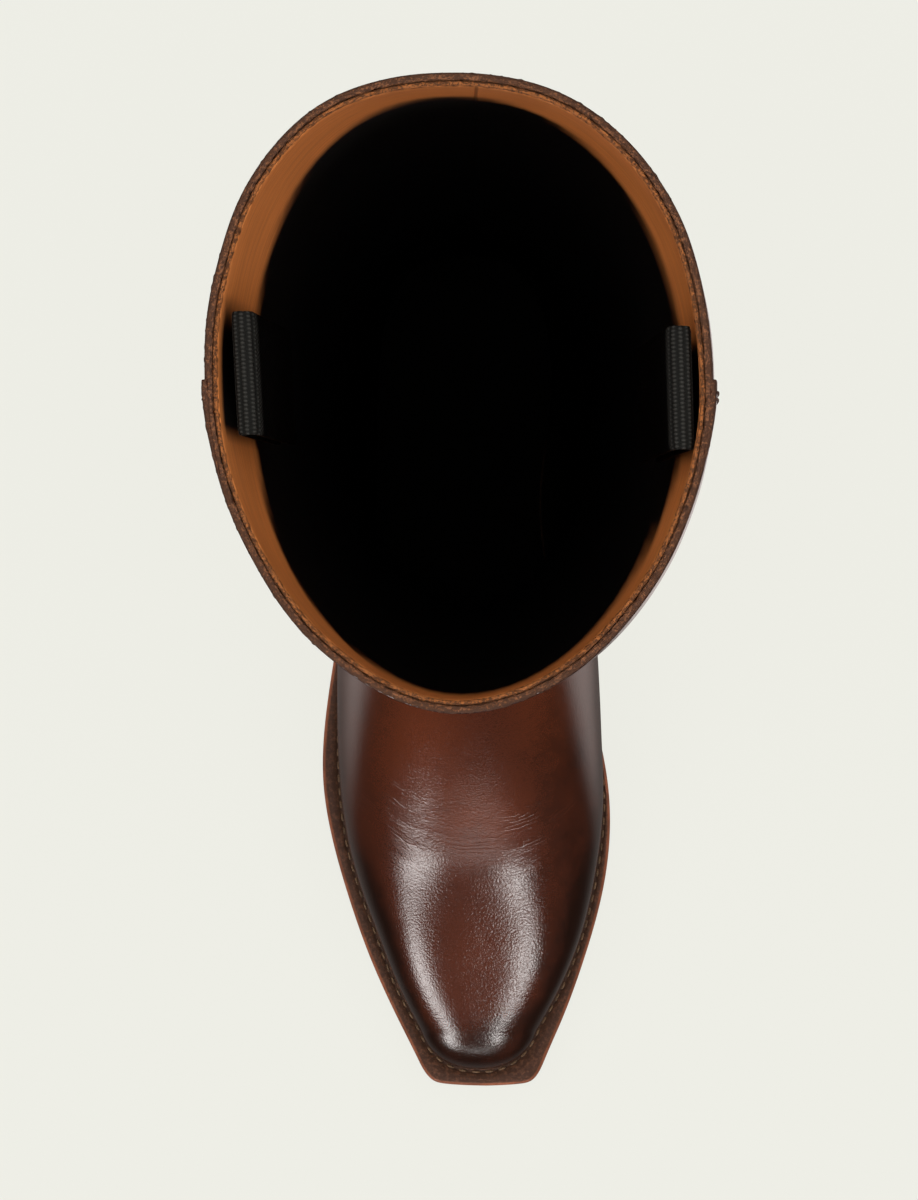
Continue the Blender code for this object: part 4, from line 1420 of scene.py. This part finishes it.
class BOOT_OT_welt(bpy.types.Operator):
    """Make the welt, its stitch groove and its stitches"""

    bl_idname = "boot.make_welt"
    bl_label = "Welt"

    def execute(self, context):
        rings, seam, room = welt_rings()
        edge = np.zeros(rings.shape[:2])
        edge[:, :EDGE_ROWS] = edge[:, -1] = 1.0
        edge[:, EDGE_ROWS] = EDGE_STAIN
        groove = np.zeros(rings.shape[:2])
        groove[:, SHADED_GROOVE_ROWS] = room[:, None]
        add_piece(
            "welt_strip", rings, closed_ring(*rings.shape[:2]), welt_leather(),
            {"edge": edge, "groove": groove}, node="welt", slot="welt_leather",
        )
        sewn = np.nonzero((room > 0.5) & (seam[:, 1] < SEWN_TO_Y))[0]
        path = seam[sewn[0]:sewn[-1] + 1]
        up = np.tile([0.0, 0.0, 1.0], (len(path), 1))
        thread = waxed_thread("welt_thread", context.scene.boot_colours.thread_tan)
        row = (path, up, boot_mm("welt_pitch"), WELT_STITCH, boot_mm("thread") / 2)
        add_stitches("welt_stitches", [row], thread)
        return {"FINISHED"}


def sole_plan(side, distance):
    return inset(sole_half(side), side, distance)


class BOOT_OT_outsole(bpy.types.Operator):
    """Make the outsole with its waxed edge and the stitched channel underneath"""

    bl_idname = "boot.make_outsole"
    bl_label = "Outsole"

    def execute(self, context):
        levels = edge_levels(OUTSOLE_PROFILE, sole_plan, sole_bottom, sole_top)
        verts, faces = block(levels, SOLE_COLUMNS)
        under = ramp(sole_bottom(verts[:, 1]) + UNDER_BAND[0], verts[:, 2], UNDER_BAND[1])
        add_piece(
            "outsole_leather", verts, faces, sole_leather(), {"under": under},
            node="outsole", slot="sole_leather",
        )
        thread = waxed_thread("sole_thread", context.scene.boot_colours.thread_tan)
        rows = []
        for side in (0, 1):
            path = sum(levels[level][side] for level in CHANNEL_LEVELS) / 2
            path = path[path[:, 1] < CHANNEL_END_Y]
            down = np.tile([0.0, 0.0, -1.0], (len(path), 1))
            rows.append((path, down, boot_mm("welt_pitch"), SOLE_STITCH, SOLE_THREAD / 2))
        add_stitches("sole_stitches", rows, thread)
        return {"FINISHED"}


def insole_plan(side, distance):
    """Edge of the insole in plan, its two sides meeting at the heel and at the toe."""
    plan = feather_half(side, INSOLE_CLEAR + distance)
    plan[0, 0] = HEEL_MIDDLE_X
    plan[-1, 0] = FOOT_SECTIONS[0][COLUMNS.index("ridge_x")]
    return plan


class BOOT_OT_insole(bpy.types.Operator):
    """Make the insole with its sock, painted near-black as painted shade"""

    bl_idname = "boot.make_insole"
    bl_label = "Insole"

    def execute(self, context):
        levels = edge_levels(INSOLE_PROFILE, insole_plan, insole_bottom, insole_top)
        verts, faces = block(levels, INSOLE_COLUMNS)
        add_piece("insole_sock", verts, faces, sock_leather(), node="insole", slot="insole_leather")
        return {"FINISHED"}


# Heel


def heel_outline(side_in, back_in, breast_in):
    """Edges in plan of a heel lift, from its round back to its hollowed breast."""
    half_width = HEEL_HALF_WIDTH - side_in
    centre_y = HEEL_Y - back_in - half_width
    breast_y = BREAST_Y + breast_in
    turns = np.radians(np.linspace(0, 90, HEEL_TURN_POINTS))
    edge = [(half_width * math.sin(a), centre_y + half_width * math.cos(a)) for a in turns]
    edge += [(half_width, y) for y in np.linspace(centre_y, breast_y, HEEL_SIDE_POINTS)[1:]]
    shares = np.linspace(1, 0, BREAST_POINTS)[1:]
    edge += [(half_width * s, breast_y + BREAST_DISH * (1 - s * s)) for s in shares]
    return [np.array([(HEEL_MIDDLE_X + side * x, y) for x, y in edge]) for side in (-1, 1)]


def heel_level(share, inward, lift, upper, lower, top, bottom):
    """A level of the heel, a share of the way from its top outline to its lowest one."""
    centre = np.array([HEEL_MIDDLE_X, HEEL_CENTRE_Y])
    edges = []
    for high, low in zip(heel_outline(*upper), heel_outline(*lower)):
        plan = high + share * (low - high)
        plan = plan + inward * unit(centre - plan)
        height = top(plan[:, 1])
        edges.append(np.column_stack([plan, height + share * (bottom - height) + lift]))
    for end in (0, -1):
        edges[1][end] = edges[0][end]
    return edges


class BOOT_OT_heel(bpy.types.Operator):
    """Make the stacked leather heel and its rubber cap"""

    bl_idname = "boot.make_heel"
    bl_label = "Heel"

    def execute(self, context):
        levels = [heel_level(*row, HEEL_TOP, HEEL_LOW, sole_bottom, CAP_THICKNESS) for row in HEEL_PROFILE]
        stack = add_piece(
            "heel_stack", *block(levels, HEEL_COLUMNS), stacked_leather(),
            node="heel", slot="heel_leather",
        )
        levels = [heel_level(*row, HEEL_LOW, CAP_LOW, cap_top, 0.0) for row in CAP_PROFILE]
        cap = add_piece(
            "heel_cap_rubber", *block(levels, HEEL_COLUMNS), heel_rubber(),
            node="heel_cap", slot="heel_rubber",
        )
        for piece in (stack, cap):
            sharpen(piece, degrees=40.0)
        return {"FINISHED"}


# Pull loops


def loop_webbing(side):
    """Rings of the folded webbing along its run, with its ribs, and masks of run, width and the unshaded
    fold, beyond which the legs are painted near-black as painted shade.
    """
    pitch = boot_mm("rib_pitch")
    length = 2 * LOOP_LEG + math.pi * LOOP_FOLD
    run = np.arange(0.0, length, pitch / RIB_STEPS)
    bend = np.clip((run - LOOP_LEG) / LOOP_FOLD, 0.0, math.pi)
    x = -LOOP_FOLD * np.cos(bend)
    legs = np.minimum(run - LOOP_LEG, 0.0), np.maximum(run - length + LOOP_LEG, 0.0)
    z = LOOP_FOLD * np.sin(bend) + legs[0] - legs[1]
    line = np.stack([x, z], axis=1)
    out = np.stack([-np.cos(bend), np.sin(bend)], axis=1)
    half = WEBBING_WIDTH / 2
    across = half * np.sin(np.linspace(-1, 1, WEBBING_POINTS) * math.pi / 2)
    rib = RIB_HEIGHT * np.abs(np.sin(math.pi * run / pitch))
    selvedge = SELVEDGE_THIN * (np.abs(across) / half) ** SELVEDGE_POWER
    thick = WEBBING_THICKNESS / 2 * (1 - selvedge) - RIB_ROOM
    outer = [line + (t + rib)[:, None] * out for t in thick]
    inner = [line - (t + rib * INNER_RIB)[:, None] * out for t in thick[::-1]]
    local_x, local_z = np.moveaxis(np.stack(outer + inner, axis=1), -1, 0)
    width = np.broadcast_to(np.concatenate([across, across[::-1]]), local_x.shape)
    lean = side * math.radians(LOOP_LEAN_DEG[side])
    reach = LOOP_FOLD + WEBBING_THICKNESS / 2
    place_x = side * (COLLAR_HALF - WALL - LOOP_CLEAR[side] - reach)
    sideways = width + side * LOOP_SWAY * np.sin(run / length * math.pi)[:, None]
    points = np.stack([
        place_x + local_x * math.cos(lean) + local_z * math.sin(lean) - LOOP_YAW[side] * sideways,
        LOOP_MIDDLE_Y[side] + sideways,
        BOOT_HEIGHT - LOOP_DROP - reach - local_x * math.sin(lean) + local_z * math.cos(lean),
    ], axis=-1)
    # Painted shade: the legs away from the fold get the dark end of this mask.
    unshaded_fold = 1 - ramp(np.abs(run - length / 2), *FOLD_UNSHADED)
    masks = {
        "run": np.broadcast_to(run[:, None], local_x.shape),
        "across": width,
        "unshaded_fold": np.broadcast_to(unshaded_fold[:, None], local_x.shape),
    }
    return points, masks


class BOOT_OT_pull_loops(bpy.types.Operator):
    """Make the ribbed webbing loops inside the collar"""

    bl_idname = "boot.make_pull_loops"
    bl_label = "Pull Loops"

    def execute(self, context):
        webbing = ribbed_webbing()
        for side, name in SIDES:
            points, masks = loop_webbing(side)
            add_piece(
                "pull_loop_webbing_" + name, points, capped_tube(*points.shape[:2]), webbing, masks,
                node="pull_loop_" + name, slot="webbing",
            )
        return {"FINISHED"}


# Stage


def aim(lamp, place, target):
    lamp.location = place
    lamp.rotation_euler = (Vector(target) - Vector(place)).to_track_quat("-Z", "Y").to_euler()


def hide_from(piece, *rays):
    for ray in rays:
        setattr(piece, "visible_" + ray, False)


def stage_piece(name, bm, material):
    """An object of the stage, from a bmesh that is then freed."""
    mesh = bpy.data.meshes.new(name)
    bm.to_mesh(mesh)
    bm.free()
    mesh.materials.append(material)
    piece = bpy.data.objects.new(name, mesh)
    bpy.context.scene.collection.objects.link(piece)
    return piece


def stage_disc(name, radius, segments, material):
    disc = bmesh.new()
    bmesh.ops.create_circle(disc, cap_ends=True, segments=segments, radius=radius)
    return stage_piece(name, disc, material)


def glowing_disc(f, radius, segments, glow):
    """A disc that is only seen in gloss, black but for its glow, named after its finish."""
    material = f.shown({"Base Color": BLACK, "Emission Color": glow})
    disc = stage_disc(material.name, radius, segments, material)
    hide_from(disc, "camera", "diffuse", "transmission", "shadow")
    return disc


def faded_softbox(name, place, target, size, strength):
    """A softbox that is bright in the middle and fades to its edge."""
    f = Finish(name, 0.0, {"Roughness": 1.0, "Emission Strength": strength})
    x, y = f.axes("XY")
    fade = (x * x + y * y).between(0.0, 1.0)
    disc = glowing_disc(f, 1.0, SOFTBOX_SEGMENTS, f.mix(fade, SOFTBOX_WHITE, BLACK))
    disc.scale = (size[0] / 2, size[1] / 2, 1.0)
    aim(disc, place, target)


def floor_bounce():
    """The floor as gloss shows it, a painted reflection: lit beside the instep, painted dark beside the vamp
    as the boot's shade on the floor, and dark far off.
    """
    f = Finish("floor_bounce", 0.0, {"Roughness": 1.0, "Emission Strength": 1.0})
    x, y = f.axes("XY")
    beside = ((x * x / 0.055**2 + y * y / 0.150**2) ** 0.5).between(1.1, 1.9)
    far = ((x * x + y * y) ** 0.5).between(0.14, 0.46)
    instep = (y + 0.075).between(0.0, 0.05)
    glow = f.mix(instep, (0.03, 0.025, 0.022), (0.95, 0.84, 0.80))
    # Painted shadow: the floor's reflection is dark beside the vamp.
    glow = f.mix(beside, (0.15, 0.13, 0.12), glow)
    glow = f.mix(far, glow, (0.01, 0.01, 0.01))
    glowing_disc(f, STAGE_RADIUS, STAGE_SEGMENTS, glow).location.z = BOUNCE_Z


def pale_floor(colour):
    """The floor, and a backdrop of the same finish that only the camera sees."""
    f = Finish("pale_floor", 0.0, {"Roughness": 0.9, "Emission Strength": 1.0})
    material = f.shown({"Base Color": toned(colour, 0.04), "Emission Color": toned(colour, 0.920)})
    floor = stage_disc("floor", STAGE_RADIUS, STAGE_SEGMENTS, material)
    floor.location.z = FLOOR_Z
    hide_from(floor, "glossy", "shadow")
    sky = bmesh.new()
    bmesh.ops.create_uvsphere(
        sky, u_segments=STAGE_SEGMENTS, v_segments=STAGE_SEGMENTS // 2, radius=STAGE_RADIUS
    )
    below = [v for v in sky.verts if v.co.z < BACKDROP_LOW_Z]
    bmesh.ops.delete(sky, geom=below, context="VERTS")
    backdrop = stage_piece("backdrop", sky, material)
    hide_from(backdrop, "diffuse", "glossy", "transmission", "shadow")


def overhead_light():
    """A broad soft light from above that gloss doesn't show."""
    light = bpy.data.lights.new("overhead", "AREA")
    light.shape = "ELLIPSE"
    light.size, light.size_y = OVERHEAD_SIZE
    light.energy = OVERHEAD_POWER
    lamp = bpy.data.objects.new("overhead", light)
    aim(lamp, OVERHEAD_PLACE, OVERHEAD_AIM)
    hide_from(lamp, "glossy")
    bpy.context.scene.collection.objects.link(lamp)


class BOOT_OT_stage(bpy.types.Operator):
    """Set the pale floor, the softboxes and the camera"""

    bl_idname = "boot.make_stage"
    bl_label = "Stage"

    def execute(self, context):
        scene = context.scene
        stage = scene.boot_stage
        pale_floor(stage.floor_colour)
        floor_bounce()
        for name, light in SOFTBOXES.items():
            faded_softbox(name, *light)
        overhead_light()

        scene.world = bpy.data.worlds.new("studio")
        scene.world.use_nodes = True
        background = scene.world.node_tree.nodes["Background"]
        background.inputs["Color"].default_value = (0.05, 0.05, 0.05, 1.0)
        background.inputs["Strength"].default_value = 1.0

        camera = bpy.data.cameras.new("camera")
        camera.lens = stage.lens
        camera.sensor_width = 36.0
        camera.clip_start = 0.01
        camera.clip_end = 50.0
        viewer = bpy.data.objects.new("camera", camera)
        viewer.location = (0.0, stage.camera_y, stage.camera_height)
        scene.collection.objects.link(viewer)
        scene.camera = viewer
        scene.view_settings.view_transform = "Standard"
        return {"FINISHED"}


class BOOT_PT_maker(bpy.types.Panel):
    """The boot's pieces, in the order in which they are made"""

    bl_idname = "BOOT_PT_maker"
    bl_label = "Tall Boot"
    bl_space_type = "VIEW_3D"
    bl_region_type = "UI"
    bl_category = "Boot"

    def draw(self, context):
        for operator in OPERATORS:
            self.layout.operator(operator.bl_idname)
        for name, group in GROUPS.items():
            for size in group.__annotations__:
                self.layout.prop(getattr(context.scene, name), size)


OPERATORS = (
    BOOT_OT_stage, BOOT_OT_upper, BOOT_OT_lining, BOOT_OT_side_seams, BOOT_OT_welt, BOOT_OT_outsole,
    BOOT_OT_insole, BOOT_OT_heel, BOOT_OT_pull_loops,
)
GROUPS = {"boot_sizes": BootSizes, "boot_colours": BootColours, "boot_stage": BootStage}
CLASSES = (*GROUPS.values(), *OPERATORS, BOOT_PT_maker)


def register():
    for cls in CLASSES:
        bpy.utils.register_class(cls)
    for name, group in GROUPS.items():
        setattr(bpy.types.Scene, name, PointerProperty(type=group))


def unregister():
    for name in GROUPS:
        delattr(bpy.types.Scene, name)
    for cls in reversed(CLASSES):
        bpy.utils.unregister_class(cls)


def main():
    register()
    bpy.ops.boot.make_stage()
    bpy.ops.boot.make_upper()
    bpy.ops.boot.make_lining()
    bpy.ops.boot.make_side_seams()
    bpy.ops.boot.make_welt()
    bpy.ops.boot.make_outsole()
    bpy.ops.boot.make_insole()
    bpy.ops.boot.make_heel()
    bpy.ops.boot.make_pull_loops()


if __name__ == "__main__":
    main()
